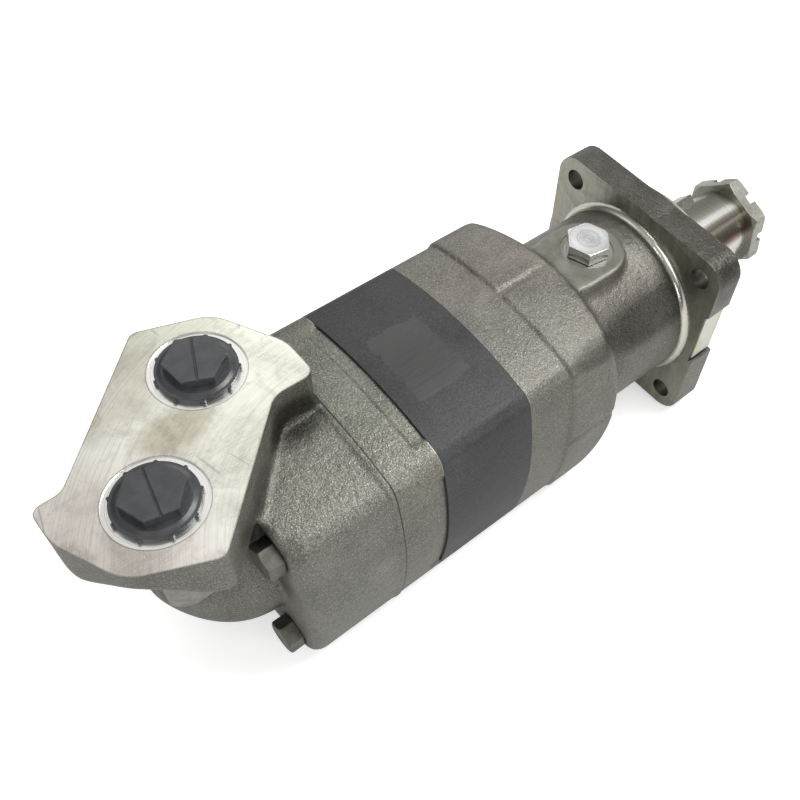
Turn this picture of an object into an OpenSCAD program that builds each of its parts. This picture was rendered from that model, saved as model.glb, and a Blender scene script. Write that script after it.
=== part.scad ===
// Orbital hydraulic motor with a roller ring, disc valve and tapered keyed shaft.
// The motor axis is X and the shaft points to +X. The front face of the
// mounting flange lies at x = 0, the port pad faces +Z.

/* [Mounting flange] */
// Width of the square flange across its flat sides
flange_w = 146; // [144:1:150]
// Thickness of the flange
flange_t = 21; // [18:1:24]
// Distance from a flange side to the middle of a mounting hole
hole_inset = 15.76; // [14:0.02:18]
// Diameter of a mounting hole
mount_hole_d = 14.3; // [12:0.1:16]
// Radius of a flange corner
flange_corner_r = 16; // [14:0.5:18]
// How far the middle of each flange side bulges out
side_bulge = 1; // [0.5:0.5:2]
// Distance from a flange side to the round pilot that centres the motor
pilot_inset = 9.5; // [8:0.5:12]
// Height of the pilot
pilot_h = 12; // [9:1:15]
// Depth of the flat milled in one flange side for the plate
plate_flat_depth = 3; // [2:0.5:4]
// Length of that milled flat
plate_flat_len = 46; // [40:1:56]
// Height of the middle of that flat above the motor axis
plate_flat_z = 10; // [5:1:14]

/* [Body slices] */
// Width of the body from face to face, at the middle of a face
body_w = 146; // [142:1:150]
// Radius of the shallow arc that each body face follows
face_arc_r = 220; // [190:5:260]
// Radius of the long edges of the body
body_edge_r = 12; // [8:1:16]
// Distance from the flange's front face to the roller ring
front_len = 174; // [168:1:184]
// Width of the roller ring, which sets the displacement
ring_w = 63.5; // [50:0.5:80]
// Thickness of the valve plate
plate_t = 31; // [27:1:36]
// Length of the square part of the valve housing
rear_len = 64; // [60:1:72]
// Height of the lip that stands proud around the valve housing's joint
joint_lip_h = 0.8; // [0.5:0.1:1.2]
// Width of that lip
joint_lip_w = 3.5; // [2.5:0.5:5]
// Depth of the relief along the front edge of the valve plate
plate_relief = 1.5; // [0.6:0.1:2]
// Width of that relief
plate_relief_w = 9; // [6:1:12]

/* [Bearing housing] */
// Diameter of the round neck behind the flange
neck_d = 120; // [117:1:123]
// Radius of the machined fillet where the neck meets the flange
root_fillet_r = 4; // [2:0.5:6]
// Distance from the flange's front face to the middle of the shoulder
shoulder_dist = 102; // [99:1:106]
// Length along the axis over which the shoulder swells to the full body
shoulder_len = 23; // [18:1:28]
// Height of the cast corner pads above the body
corner_pad_h = 1.5; // [1:0.25:2]
// Distance from the flange's front face to the step behind the corner pads
corner_pad_dist = 142; // [130:1:146]
// Gap between neighbouring corner pads
corner_pad_gap = 6; // [4:1:12]
// Width of the raised cast band on the neck
cast_band_w = 13; // [10:1:16]
// Height of that band
cast_band_h = 1; // [0.5:0.25:1.5]

/* [Drain] */
// How far the drain boss's flat top lies below the body's faces
drain_boss_drop = 7; // [4:0.5:9]
// Width of the drain boss
drain_boss_w = 49; // [42:1:54]
// Distance from the flange's front face to the drain port
drain_dist = 68; // [62:1:74]
// Diameter of the drain port's thread
drain_thread_d = 22.2; // [19:0.1:24]
// Diameter of the spot face around the drain port
drain_spot_d = 34; // [32:1:40]
// Size of the drain plug's hexagon across its flats
drain_hex = 25.4; // [22:0.2:28]
// Height of that hexagon
drain_hex_h = 9; // [7:0.5:12]

/* [Port pad] */
// Height of the machined port face above the motor axis
pad_z = 100.7; // [97:0.1:106]
// Thickness of the pad
pad_t = 33; // [28:1:36]
// Distance from the valve housing's joint to the middle of the pad
pad_back = 73.2; // [72:0.1:76]
// Sideways shift of the pad's middle from the motor axis
pad_shift = 8.2; // [4:0.1:10]
// Distance between the two ports
port_spacing = 76.2; // [74:0.1:80]
// Diameter of a port's thread
port_thread_d = 33.3; // [30:0.1:34]
// Diameter of the drilled passage under a port
port_passage_d = 20; // [16:1:22]
// Diameter of the spot face around a port
port_spot_d = 49; // [46:0.5:52]
// Depth of the port's thread
port_thread_depth = 22; // [18:1:24]
// Distance from the pad's middle to where the undercut of its ends starts
undercut_dist = 65.4; // [62:0.2:68]
// Radius of the fillet between the pad's walls and the body
pad_fillet_r = 14; // [8:1:16]
// Width of the neck that carries the pad behind the body
pad_neck_w = 66; // [60:1:68]
// Height of the neck's underside above the motor axis
pad_neck_z = 20; // [16:1:24]
// Diameter of the round rear end of the valve housing
dome_d = 95.6; // [90:0.2:98]
// Length of that round rear end
dome_len = 54.5; // [52:0.5:60]

/* [Shaft end] */
// Diameter of the large end of the shaft's taper
taper_d = 57.15; // [54:0.05:60]
// Distance from the flange's front face to the large end of the taper
taper_start = 36; // [30:1:40]
// Distance from the flange's front face to the inner face of the nut
nut_start = 88; // [84:1:92]
// Diameter that the taper loses per millimetre of length
taper_rate = 0.125; // [0.1:0.005:0.15]
// Diameter of the shaft's end thread
shaft_thread_d = 38.1; // [34:0.1:42]
// Size of the shaft nut across its flats
nut_hex = 59.6; // [56:0.1:62]
// Thickness of the shaft nut
nut_t = 12; // [10:1:15]
// Width of the slots in the nut
nut_slot_w = 7; // [5:0.5:9]
// Depth of the slots in the nut
nut_slot_depth = 5; // [4:0.5:7]
// Width of the shaft key
key_w = 14; // [12:0.1:16]
// Height of the shaft key
key_h = 12; // [10:0.5:14]
// Length of the shaft key
key_len = 34; // [28:1:40]
// Distance from the key's end to the nut
key_nut_gap = 22; // [18:1:26]
// Angle of the key around the shaft, from the +Y direction
key_angle = 42; // [0:1:90]

/* [Bearings and seals] */
// Diameter of the shaft in its bearings
journal_d = 64; // [62:0.5:65]
// Outer diameter of a bearing
bearing_d = 98; // [96:0.5:100]
// Width of a bearing
bearing_w = 28; // [26:1:30]
// Distance from the flange's front face to the front bearing
front_bearing_dist = 12; // [11:0.5:14]
// Distance from the flange's front face to the rear bearing
rear_bearing_dist = 76; // [75:1:80]
// Number of rollers in a bearing
bearing_rollers = 16; // [12:1:18]
// Diameter of a bearing roller
bearing_roller_d = 9; // [8:0.25:10]
// Tilt of the bearing rollers to the axis, in degrees
bearing_tilt = 12; // [8:1:15]
// Outer diameter of the shaft seal
seal_d = 84; // [80:1:88]
// Thickness of the shaft seal
seal_t = 10; // [8:1:11]

/* [Roller and star set] */
// Diameter of the circle through the roller centres
roller_circle_d = 92; // [90:0.5:94]
// Diameter of a roller
roller_d = 19; // [18:0.25:20]
// Distance between the star's axis and the motor axis
orbit_r = 4.5; // [4:0.1:4.8]
// Gap between the star and the rollers
star_gap = 0.05; // [0.04:0.01:0.08]
// Diameter over the teeth of the drive splines
spline_d = 41; // [39:0.5:42]
// Radial height of a spline tooth
spline_h = 3; // [2.5:0.25:3.5]
// Gap around the teeth of a crowned drive spline
spline_gap = 0.7; // [0.65:0.05:0.9]
// Diameter of the main drive between its splines
drive_waist_d = 28; // [24:1:30]

/* [Valve] */
// Diameter of the disc valve
disc_d = 100; // [96:1:102]
// Thickness of the disc valve
disc_t = 28; // [26:1:30]
// Diameter of the circle through the timing passages
timing_circle_d = 84; // [82:0.5:86]
// Diameter of a timing passage
timing_hole_d = 7; // [5:0.5:8]
// Thickness of the balance ring
balance_t = 19; // [18:1:20]
// Outer diameter of the balance ring's guided part
balance_guide_d = 91; // [88:0.5:92]
// Bore of the balance ring
balance_bore_d = 52; // [50:0.5:54]
// Diameter over the teeth of the valve drive's rear spline
valve_spline_d = 29; // [27:0.5:30]

/* [Fasteners] */
// Diameter of a through bolt
bolt_d = 12.7; // [11:0.1:13.5]
// Size of a bolt head across its flats
bolt_hex = 19.05; // [17:0.05:21]
// Height of a bolt head
bolt_head_h = 10; // [8:0.5:12]
// Depth of the pocket that a bolt head sits in
bolt_pocket = 1; // [0.5:0.25:2.5]
// Length of bolt thread in the bearing housing
bolt_grip = 44; // [30:1:50]

/* [Port plugs] */
// Diameter of a plug's flange
plug_flange_d = 41; // [38:0.5:44]
// Thickness of a plug's flange
plug_flange_t = 3; // [2:0.5:4]
// Size of a plug's hexagon across its flats
plug_hex = 27.6; // [25:0.2:30]
// Height of a plug's hexagon
plug_hex_h = 7; // [5:0.5:9]
// Number of grip nubs around a plug's flange
plug_nubs = 9; // [6:1:12]

/* [Hidden] */
$fn = 64;

// Running, seating and cutting gaps
run_gap = 0.05;
seat_gap = 0.02;
cut = 1;

// Places along the motor axis
x_flange = -flange_t;
x_shoulder = -shoulder_dist;
x_ring = -front_len;
x_plate = x_ring - ring_w;
x_joint = x_plate - plate_t;
x_rear = x_joint - rear_len;
x_dome = x_rear - dome_len;
neck_r = neck_d / 2;
x_swell_start = x_shoulder + shoulder_len / 2;
x_swell_end = x_shoulder - shoulder_len / 2;
swell_steps = 8;
swell_margin = 2.3;
body_corner = corner_c(body_w / 2, face_arc_r, body_edge_r);
swell_r = body_corner * sqrt(2) + body_edge_r + corner_pad_h + swell_margin;

// The cast band runs over the neck from the top towards the -Y side
band_from = 83;
band_to = 131;
band_edge = 6;

// Places of the mounting holes, pilot, drain, pad and ports
hole_off = flange_w / 2 - hole_inset;
pilot_r = flange_w / 2 - pilot_inset;
drain_boss_z = body_w / 2 - drain_boss_drop;
pad_x = x_joint - pad_back;
port_off = port_spacing / 2 * sin(45);
front_port = [pad_x + port_off, pad_shift + port_off];
rear_port = [pad_x - port_off, pad_shift - port_off];
pad_under_z = pad_z - pad_t;
// Corners of the pad's outline about its middle, each as x, y and radius
pad_corners = [[port_off - 13.9, port_off + 40.6, 5], [port_off + 25, port_off + 27, 22],
               [port_off + 45, port_off - 11.2, 25], [port_off + 44.9, -9.8, 6],
               [port_off + 20.6, -9.5, 14], [9.2 - port_off, -port_off - 43.7, 5],
               [-port_off - 30.2, -port_off - 25.9, 22], [-port_off - 45.4, 9 - port_off, 25],
               [-port_off - 45.4, 3.1, 5], [-port_off - 30, 3.2, 10]];
// The corners at which the two filleted walls start
filleted_corners = [3, 4];
pad_fillet_z = body_corner + body_edge_r - 1.5;
undercut_run = 10.6;
undercut_rise = 21;
neck_setback = 1;
neck_edge_r = 15;
passage_end_z = pad_neck_z + 10;
passage_wall = 2.2;
// Powers of the dome's rounded outline, along the axis and outwards
dome_power_x = 2.33;
dome_power_r = 1.38;
dome_steps = 14;
spot_depth = 0.8;
thread_gap = 0.15;

// Shaft cavity
journal_r = journal_d / 2;
bearing_r = bearing_d / 2;
x_front_bearing = -front_bearing_dist;
x_rear_bearing = -rear_bearing_dist;
bearing_shoulder_r = bearing_r - 5;
cavity_r = bearing_r + 1;
dust_seal_t = 5;
dust_seal_r = seal_d / 2 - 3;
washer_r = seal_d / 2 + 3;
washer_t = 1.5;
washer_gap = 0.1;
x_seal = x_front_bearing + washer_t + 2 * washer_gap;
x_dust = x_seal + seal_t + washer_gap;
seal_shaft_r = journal_r - 1;
lip_gap = 0.08;
seal_case_t = 2.5;
seal_web_t = 1.5;
lip_h = 1.2;
race_mid_r = (journal_r + bearing_r) / 2;
race_short = bearing_w * 0.08;
roller_len = bearing_w * 0.6;
rib_h = 1.6;
cage_inset = bearing_roller_d * 0.1;
cage_wall = bearing_roller_d * 0.22;
cage_rim = 2;
cage_gap = 0.15;
lock_nut_t = 10;
lock_nut_r = journal_r + 9;
lock_slot_w = 8;
lock_slot_depth = 3;
bearing_spacer_wall = 3;

// Shaft and drives
x_shaft_end = x_rear_bearing - bearing_w - lock_nut_t - 4;
cup_depth = 42;
cup_relief = 6;
drive_head_l = 24;
x_drive_front = x_shaft_end + 26;
x_drive_rear = x_ring - 18;
spacer_t = 5;
spacer_hole_r = 5;
valve_head_l = 14;
valve_head_inset = 15.5;
x_valve_drive_front = x_plate + valve_head_inset;
x_spacer = (x_drive_rear - drive_head_l / 2 + x_valve_drive_front + valve_head_l / 2) / 2;
x_valve_drive_rear = x_joint - valve_head_inset;
spline_teeth = 12;
spline_root_a = 8.6;
spline_tip_a = 5.4;
// A head's crown starts at this share of its length from its middle
crown_start = 0.4;
drive_tilt = atan(orbit_r / (x_drive_front - x_drive_rear));
valve_tilt = atan(orbit_r / (x_valve_drive_front - x_valve_drive_rear));
thread_run = 3;
x_thread_end = nut_start + nut_t + thread_run;
thread_chamfer = 2;
x_key_end = nut_start - key_nut_gap;
key_seat = 0.56;
nut_turn = 22;
nut_chamfer = 2;

// Roller and star set
roller_count = 7;
star_lobes = roller_count - 1;
roller_r = roller_d / 2;
roller_circle_r = roller_circle_d / 2;
star_steps = 300;
// Share by which the outline's points crowd into the star's valleys
star_crowding = 0.5;
// The ring's bore lies just outside the star's lobes
lobe_gap = 0.7;
ring_bore_r = roller_circle_r - roller_r + 2 * orbit_r + lobe_gap;
side_gap = 0.03;

// Valve
disc_r = disc_d / 2;
x_disc_back = x_joint - disc_t;
disc_floor_t = 3;
disc_pocket_depth = 12;
valve_cavity_r = disc_r + 4;
x_valve_step = x_disc_back - 8.5;
x_balance_back = x_disc_back - balance_t;
x_valve_end = x_balance_back - 4;
balance_head_r = disc_r - 1;
balance_guide_r = balance_guide_d / 2;
balance_bore_r = balance_bore_d / 2;
hub_r = balance_bore_r - run_gap;
hub_bore_r = hub_r - 6;
seal_section_r = 1.4;
seal_groove_w = 3.4;
seal_groove_depth = 2 * seal_section_r + run_gap;
x_balance_seal = (x_valve_step + x_balance_back) / 2;

// Springs and pins behind the balance ring
spring_r = 3.2;
spring_wire_r = 0.6;
spring_turns = 5;
spring_pocket = 4;
spring_end_gap = 0.1;
pin_r = 2;
pin_reach = 3;
pin_root = 3;
pin_end_gap = 0.1;
back_mid_r = (balance_guide_r + hub_r) / 2 + 0.5;

// Section seals between the slices
section_wall = 1.7;
section_seal_section = 1.1;
section_groove_half = 1.3;
section_seal_r = roller_circle_r + roller_r + section_wall + section_groove_half;
section_groove_depth = 2.3;
section_seal_gap = 0.1;

// Fasteners and plugs
bolt_r = bolt_d / 2;
bolt_hole_r = bolt_r + 0.35;
bolt_thread_r = bolt_r + 0.05;
bolt_wall = 1.5;
bolt_off = (section_seal_r + section_groove_half + bolt_wall + bolt_hole_r) / sqrt(2);
bolt_pocket_r = bolt_hex / sqrt(3) + 1.3;
bolt_hole_extra = 3;
bolt_washer_t = 1.2;
bolt_chamfer = 0.8;
chamfer_slope = sqrt(3);
drain_thread_r = drain_thread_d / 2;
drain_plug_len = 14;
drain_relief_l = 2;
drain_relief = 1.2;
drain_seal_r = 0.45;
drain_drill_r = 4;
drain_hex_turn = 50;
drain_chamfer = 0.5;
drain_face_inset = 2.4;
port_thread_r = port_thread_d / 2;
plug_body_l = 14;
plug_wall = 3;
plug_bead_t = 1;
plug_slot_w = 1.2;
plug_nub_d = 2.2;
plug_nub_turn = 12;
front_plug_turn = 35.5;
rear_plug_turn = 47.5;
plate_blank_t = 1;
plate_margin = 3;

cast_grey = [0.47, 0.46, 0.42];
ring_black = [0.17, 0.17, 0.18];
bright_steel = [0.72, 0.71, 0.67];
dark_steel = [0.24, 0.24, 0.23];
zinc = [0.78, 0.79, 0.78];
plastic_black = [0.08, 0.09, 0.11];
rubber_black = [0.05, 0.05, 0.05];
bronze = [0.62, 0.46, 0.25];

// General shapes

// A bar about the motor axis from x0 to x1
module bar(x0, x1, r) {
    translate([x0, 0, 0]) rotate([0, 90, 0]) cylinder(h = x1 - x0, r = r);
}

// A prism whose outline lies in the Y-Z plane
module slab(x0, x1) {
    translate([x0, 0, 0]) rotate([90, 0, 90]) linear_extrude(x1 - x0) children();
}

// A turned body about the motor axis, its outline drawn as radius and x
module turned() {
    rotate([0, 90, 0]) rotate_extrude() children();
}

// Copies at the four bolt places, of solids or of flat shapes
module at_corners(off) {
    for (y = [-off, off], z = [-off, off]) translate([0, y, z]) children();
}
module at_corners_2d(off) {
    for (y = [-off, off], z = [-off, off]) translate([y, z]) children();
}

// A straight drilling from p to q
module drilling(p, q, r) {
    v = q - p;
    translate(p) rotate([0, acos(v[2] / norm(v)), atan2(v[1], v[0])]) cylinder(h = norm(v), r = r);
}

// A hexagonal prism standing on +Z, the corners of its outer end chamfered
module hex_prism(flats, h, chamfer) {
    r = flats / sqrt(3);
    intersection() {
        cylinder(h = h, r = r, $fn = 6);
        union() {
            cylinder(h = h - chamfer - cut / 2, r = flats);
            translate([0, 0, h - chamfer - cut]) cylinder(h = chamfer + cut,
                r1 = r + cut * chamfer_slope, r2 = r - chamfer * chamfer_slope);
        }
    }
}

// Corner centre of a bowed square of half width w
function corner_c(w, arc_r, r) =
    let (k = arc_r - w, s = arc_r - r) (sqrt(2 * s * s - k * k) - k) / 2;

// The body outline: four shallow arcs joined by round corners
module bowed_square(w, arc_r, r) {
    k = arc_r - w;
    s = arc_r - r;
    c = corner_c(w, arc_r, r);
    t1 = c * arc_r / s;
    t2 = (c + k) * arc_r / s - k;
    difference() {
        intersection() {
            translate([0, -k]) circle(r = arc_r, $fn = 180);
            translate([0, k]) circle(r = arc_r, $fn = 180);
            translate([-k, 0]) circle(r = arc_r, $fn = 180);
            translate([k, 0]) circle(r = arc_r, $fn = 180);
        }
        for (a = [0 : 90 : 270]) rotate(a) polygon([[c, c], [t2, t1], [w * 1.3, w * 1.3], [t1, t2]]);
    }
    for (a = [0 : 90 : 270]) rotate(a) translate([c, c]) circle(r = r);
}

module body_outline(grow = 0) {
    bowed_square(body_w / 2 + grow, face_arc_r, body_edge_r);
}

// Points of an outline whose corners are rounded, each corner given as x, y, radius
function unit(v) = v / norm(v);
function turned_by(v, a) = [v[0] * cos(a) - v[1] * sin(a), v[0] * sin(a) + v[1] * cos(a)];
function round_corner(p, q, s, r, n) =
    let (u = unit(p - q), v = unit(s - q), half = acos(u * v) / 2, m = q + unit(u + v) * r / sin(half),
         a = q + u * r / tan(half), way = u[0] * v[1] - u[1] * v[0] > 0 ? -1 : 1,
         sweep = way * (180 - 2 * half))
    [for (i = [0 : n]) m + turned_by(a - m, sweep * i / n)];
function xy(p) = [p[0], p[1]];
function rounded(pts, n) = let (m = len(pts))
    [for (i = [0 : m - 1]) let (before = pts[(i + m - 1) % m], after = pts[(i + 1) % m])
        each round_corner(xy(before), xy(pts[i]), xy(after), pts[i][2], n)];

// Toothed outline of a spline
function polar(r, a) = [r * cos(a), r * sin(a)];
function teeth(n, root_r, tip_r, root_a, tip_a) =
    [for (i = [0 : n - 1]) let (a = i * 360 / n)
        each [polar(root_r, a - root_a), polar(tip_r, a - tip_a),
              polar(tip_r, a + tip_a), polar(root_r, a + root_a)]];
module spline_teeth_2d(d) {
    polygon(teeth(spline_teeth, d / 2 - spline_h, d / 2, spline_root_a, spline_tip_a));
}
module spline_hole_2d(d) {
    wider = spline_gap / (d / 2 - spline_h) * 180 / PI;
    polygon(teeth(spline_teeth, d / 2 - spline_h + spline_gap, d / 2 + spline_gap,
                  spline_root_a + wider, spline_tip_a + wider));
}

// Bearing housing with the mounting flange

module flange_outline() {
    c = flange_w / 2 - flange_corner_r;
    for (a = [0, 90]) rotate(a) square([flange_w, 2 * c], center = true);
    for (a = [0 : 90 : 270]) rotate(a) translate([c, c]) circle(r = flange_corner_r);
    circle(r = flange_w / 2 + side_bulge, $fn = 120);
}

function swell(t) = neck_r + (swell_r - neck_r) * (1 - cos(180 * t)) / 2;
module shoulder_envelope() {
    turned() polygon(concat([[0, x_ring], [swell_r + 12, x_ring], [swell_r + 12, x_swell_end]],
        [for (i = [0 : swell_steps]) let (t = 1 - i / swell_steps)
            [swell(t), x_swell_start + (x_swell_end - x_swell_start) * t]],
        [[0, x_swell_start]]));
}

module root_fillet() {
    turned() difference() {
        translate([neck_r - 1, x_flange - root_fillet_r]) square([root_fillet_r + 1, root_fillet_r + cut]);
        translate([neck_r + root_fillet_r, x_flange - root_fillet_r]) circle(r = root_fillet_r);
    }
}

module corner_pads() {
    intersection() {
        slab(-corner_pad_dist, x_swell_start) body_outline(corner_pad_h);
        shoulder_envelope();
        for (a = [0 : 90 : 270]) rotate([a, 0, 0])
            translate([-corner_pad_dist, corner_pad_gap / 2, corner_pad_gap / 2])
            cube([corner_pad_dist, body_w, body_w]);
    }
}

module cast_band() {
    x1 = x_flange - root_fillet_r - band_edge / 2;
    intersection() {
        bar(x1 - cast_band_w, x1, neck_r + cast_band_h);
        slab(x1 - cast_band_w, x1)
            polygon([[0, 0], polar(neck_d, band_from), polar(neck_d, (band_from + band_to) / 2),
                     polar(neck_d, band_to)]);
    }
}

module drain_boss() {
    linear_extrude(drain_boss_z) {
        translate([-drain_dist, 0]) circle(d = drain_boss_w);
        translate([x_swell_end, -drain_boss_w / 2]) square([-drain_dist - x_swell_end, drain_boss_w]);
    }
}

module plate_flat() {
    translate([x_flange - cut, -flange_w, plate_flat_z - plate_flat_len / 2])
        cube([flange_t + 2 * cut, flange_w / 2 + plate_flat_depth, plate_flat_len]);
}

module shaft_cavity() {
    bar(x_seal, x_dust, seal_d / 2 + seat_gap);
    bar(x_dust - seat_gap, pilot_h + cut, dust_seal_r + seat_gap);
    bar(x_front_bearing - bearing_w, x_seal + seat_gap, bearing_r + seat_gap);
    bar(x_rear_bearing - seat_gap, x_front_bearing - bearing_w + cut, bearing_shoulder_r);
    bar(x_rear_bearing - bearing_w - cut, x_rear_bearing, bearing_r + seat_gap);
    bar(x_ring - cut, x_rear_bearing - bearing_w, cavity_r);
}

module drain_port() {
    translate([-drain_dist, 0, drain_boss_z - spot_depth]) cylinder(h = spot_depth + cut, d = drain_spot_d);
    translate([-drain_dist, 0, drain_boss_z - spot_depth - drain_plug_len - cut])
        cylinder(h = drain_plug_len + 2 * cut, r = drain_thread_r + thread_gap);
    translate([-drain_dist, 0, journal_r]) cylinder(h = drain_boss_z - journal_r - cut, r = drain_drill_r);
}

module section_groove(x) {
    turned() translate([section_seal_r - section_groove_half, x])
        square([2 * section_groove_half, section_groove_depth + cut]);
}

module bearing_housing() {
    color(cast_grey) difference() {
        union() {
            slab(x_flange, 0) flange_outline();
            bar(-cut, pilot_h, pilot_r);
            bar(x_swell_end, -cut, neck_r);
            root_fillet();
            intersection() {
                slab(x_ring, x_swell_start) body_outline();
                shoulder_envelope();
            }
            corner_pads();
            cast_band();
            drain_boss();
        }
        plate_flat();
        slab(x_flange - cut, cut) at_corners_2d(hole_off) circle(d = mount_hole_d);
        slab(x_ring - cut, x_ring + bolt_grip + bolt_hole_extra)
            at_corners_2d(bolt_off) circle(r = bolt_thread_r);
        shaft_cavity();
        drain_port();
        section_groove(x_ring - cut);
    }
}

module nameplate_blank() {
    y = -flange_w / 2 + plate_flat_depth - plate_blank_t - seat_gap;
    z = plate_flat_z - plate_flat_len / 2 + plate_margin;
    color(zinc) translate([x_flange + plate_margin / 2, y, z])
        cube([flange_t - plate_margin, plate_blank_t, plate_flat_len - 2 * plate_margin]);
}

// Seals and bearings of the shaft

// A lip seal: a stiff case with a lip that runs on the shaft
module lip_seal(x0, t, r_out) {
    x1 = x0 + t;
    r_lip = seal_shaft_r + lip_gap;
    r_case = r_out - seal_case_t;
    turned() polygon([[r_out, x0], [r_out, x1], [r_lip + seal_web_t, x1], [r_lip, x1 - lip_h],
                      [r_lip + seal_web_t, x1 - 2 * lip_h], [r_case, x1 - 2 * lip_h],
                      [r_case, x0 + seal_web_t], [r_lip + 2 * seal_web_t, x0 + seal_web_t],
                      [r_lip + 2 * seal_web_t, x0]]);
}

module dust_seal() {
    color(rubber_black) lip_seal(x_dust, dust_seal_t, dust_seal_r);
}

module shaft_seal() {
    color(rubber_black) lip_seal(x_seal + seat_gap, seal_t - 2 * seat_gap, seal_d / 2);
}

module seal_backup_washer() {
    x0 = x_front_bearing + washer_gap;
    color(bright_steel) difference() {
        bar(x0, x0 + washer_t, washer_r);
        bar(x0 - cut, x_seal + cut, journal_r + 2);
    }
}

// A tapered roller bearing that starts at x0 and reaches back from it.
// tilt is positive where its rollers spread towards the rear.
function track(x, xm, tilt, side) =
    race_mid_r + side * (bearing_roller_d / 2 / cos(tilt) + run_gap) - (x - xm) * tan(tilt);

module outer_race(x0, tilt) {
    xm = x0 - bearing_w / 2;
    a = x0 - bearing_w + (tilt > 0 ? race_short : 0);
    b = x0 - seat_gap - (tilt > 0 ? 0 : race_short);
    color(bright_steel) turned()
        polygon([[bearing_r, b], [bearing_r, a], [track(a, xm, tilt, 1), a], [track(b, xm, tilt, 1), b]]);
}

module inner_race(x0, tilt) {
    x1 = x0 - bearing_w;
    xm = x0 - bearing_w / 2;
    reach = (roller_len * cos(tilt) + bearing_roller_d * abs(sin(tilt))) / 2 + run_gap;
    a = xm - reach;
    b = xm + reach;
    r_a = track(a, xm, tilt, -1);
    r_b = track(b, xm, tilt, -1);
    bore_r = journal_r + seat_gap;
    color(bright_steel) turned()
        polygon([[bore_r, x1], [r_a + rib_h, x1], [r_a + rib_h, a], [r_a, a], [r_b, b], [r_b + rib_h, b],
                 [r_b + rib_h, x0 - seat_gap], [bore_r, x0 - seat_gap]]);
}

module at_rollers(x0, tilt) {
    xm = x0 - bearing_w / 2;
    for (i = [0 : bearing_rollers - 1]) rotate([i * 360 / bearing_rollers, 0, 0])
        translate([xm, 0, race_mid_r]) rotate([0, 90 + tilt, 0]) children();
}

module bearing_rollers_of(x0, tilt) {
    color(bright_steel) at_rollers(x0, tilt)
        translate([0, 0, -roller_len / 2]) cylinder(h = roller_len, d = bearing_roller_d, $fn = 32);
}

// The cage is a thin cone between the races with a window for each roller
module bearing_cage(x0, tilt) {
    xm = x0 - bearing_w / 2;
    half = roller_len / 2 + cage_rim;
    r_at = race_mid_r + cage_inset;
    color(dark_steel) difference() {
        turned() polygon([for (p = [[0, -half], [cage_wall, -half], [cage_wall, half], [0, half]])
            [r_at + p[0] - p[1] * tan(tilt), xm + p[1]]]);
        at_rollers(x0, tilt) translate([0, 0, -roller_len / 2 - cage_gap])
            cylinder(h = roller_len + 2 * cage_gap, r = bearing_roller_d / 2 + cage_gap, $fn = 32);
    }
}

module front_outer_race() {
    outer_race(x_front_bearing, bearing_tilt);
}
module front_inner_race() {
    inner_race(x_front_bearing, bearing_tilt);
}
module front_bearing_cage() {
    bearing_cage(x_front_bearing, bearing_tilt);
}
module front_bearing_rollers() {
    bearing_rollers_of(x_front_bearing, bearing_tilt);
}
module rear_outer_race() {
    outer_race(x_rear_bearing, -bearing_tilt);
}
module rear_inner_race() {
    inner_race(x_rear_bearing, -bearing_tilt);
}
module rear_bearing_cage() {
    bearing_cage(x_rear_bearing, -bearing_tilt);
}
module rear_bearing_rollers() {
    bearing_rollers_of(x_rear_bearing, -bearing_tilt);
}

module bearing_spacer() {
    color(bright_steel) difference() {
        bar(x_rear_bearing, x_front_bearing - bearing_w - seat_gap, journal_r + bearing_spacer_wall);
        bar(x_rear_bearing - cut, x_front_bearing, journal_r + seat_gap);
    }
}

module bearing_lock_nut() {
    x0 = x_rear_bearing - bearing_w - seat_gap;
    x1 = x0 - lock_nut_t;
    color(dark_steel) difference() {
        bar(x1, x0, lock_nut_r);
        bar(x1 - cut, x0 + cut, journal_r + seat_gap);
        for (a = [0 : 90 : 270]) rotate([a, 0, 0])
            translate([x1 - cut, -lock_slot_w / 2, lock_nut_r - lock_slot_depth])
            cube([lock_nut_t + 2 * cut, lock_slot_w, 2 * lock_slot_depth]);
    }
}

// Output shaft, its key and nut

function taper_r(x) = (taper_d - (x - taper_start) * taper_rate) / 2;

// Outline of the key or, grown by a gap, of its slot, seen from outside the shaft
module key_outline(gap) {
    translate([key_w / 2, -key_w / 2 - gap]) square([key_len - key_w / 2 + gap, key_w + 2 * gap]);
    translate([key_w / 2, 0]) circle(r = key_w / 2 + 2 * gap);
}

module at_key(gap) {
    rotate([key_angle - 90, 0, 0])
        translate([x_key_end - key_len, 0, taper_r(x_key_end) - key_h * key_seat - gap]) children();
}

module output_shaft() {
    thread_r = shaft_thread_d / 2;
    x_land = x_dust + dust_seal_t + 2;
    color(bright_steel) difference() {
        turned() polygon([[0, x_shaft_end], [journal_r, x_shaft_end],
            [journal_r, x_front_bearing - seat_gap], [seal_shaft_r, x_front_bearing - seat_gap],
            [seal_shaft_r, x_land], [taper_d / 2, x_land + 3],
            [taper_d / 2, taper_start], [taper_r(nut_start), nut_start], [thread_r, nut_start],
            [thread_r, x_thread_end - thread_chamfer], [thread_r - thread_chamfer, x_thread_end],
            [0, x_thread_end]]);
        slab(x_shaft_end - cut, x_shaft_end + cup_depth) spline_hole_2d(spline_d);
        bar(x_shaft_end + cup_depth - cut, x_shaft_end + cup_depth + cup_relief, spline_d / 2 - spline_h);
        at_key(seat_gap) linear_extrude(key_h + journal_r) key_outline(seat_gap);
    }
}

module shaft_key() {
    color(bright_steel) at_key(0) linear_extrude(key_h) key_outline(0);
}

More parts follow.
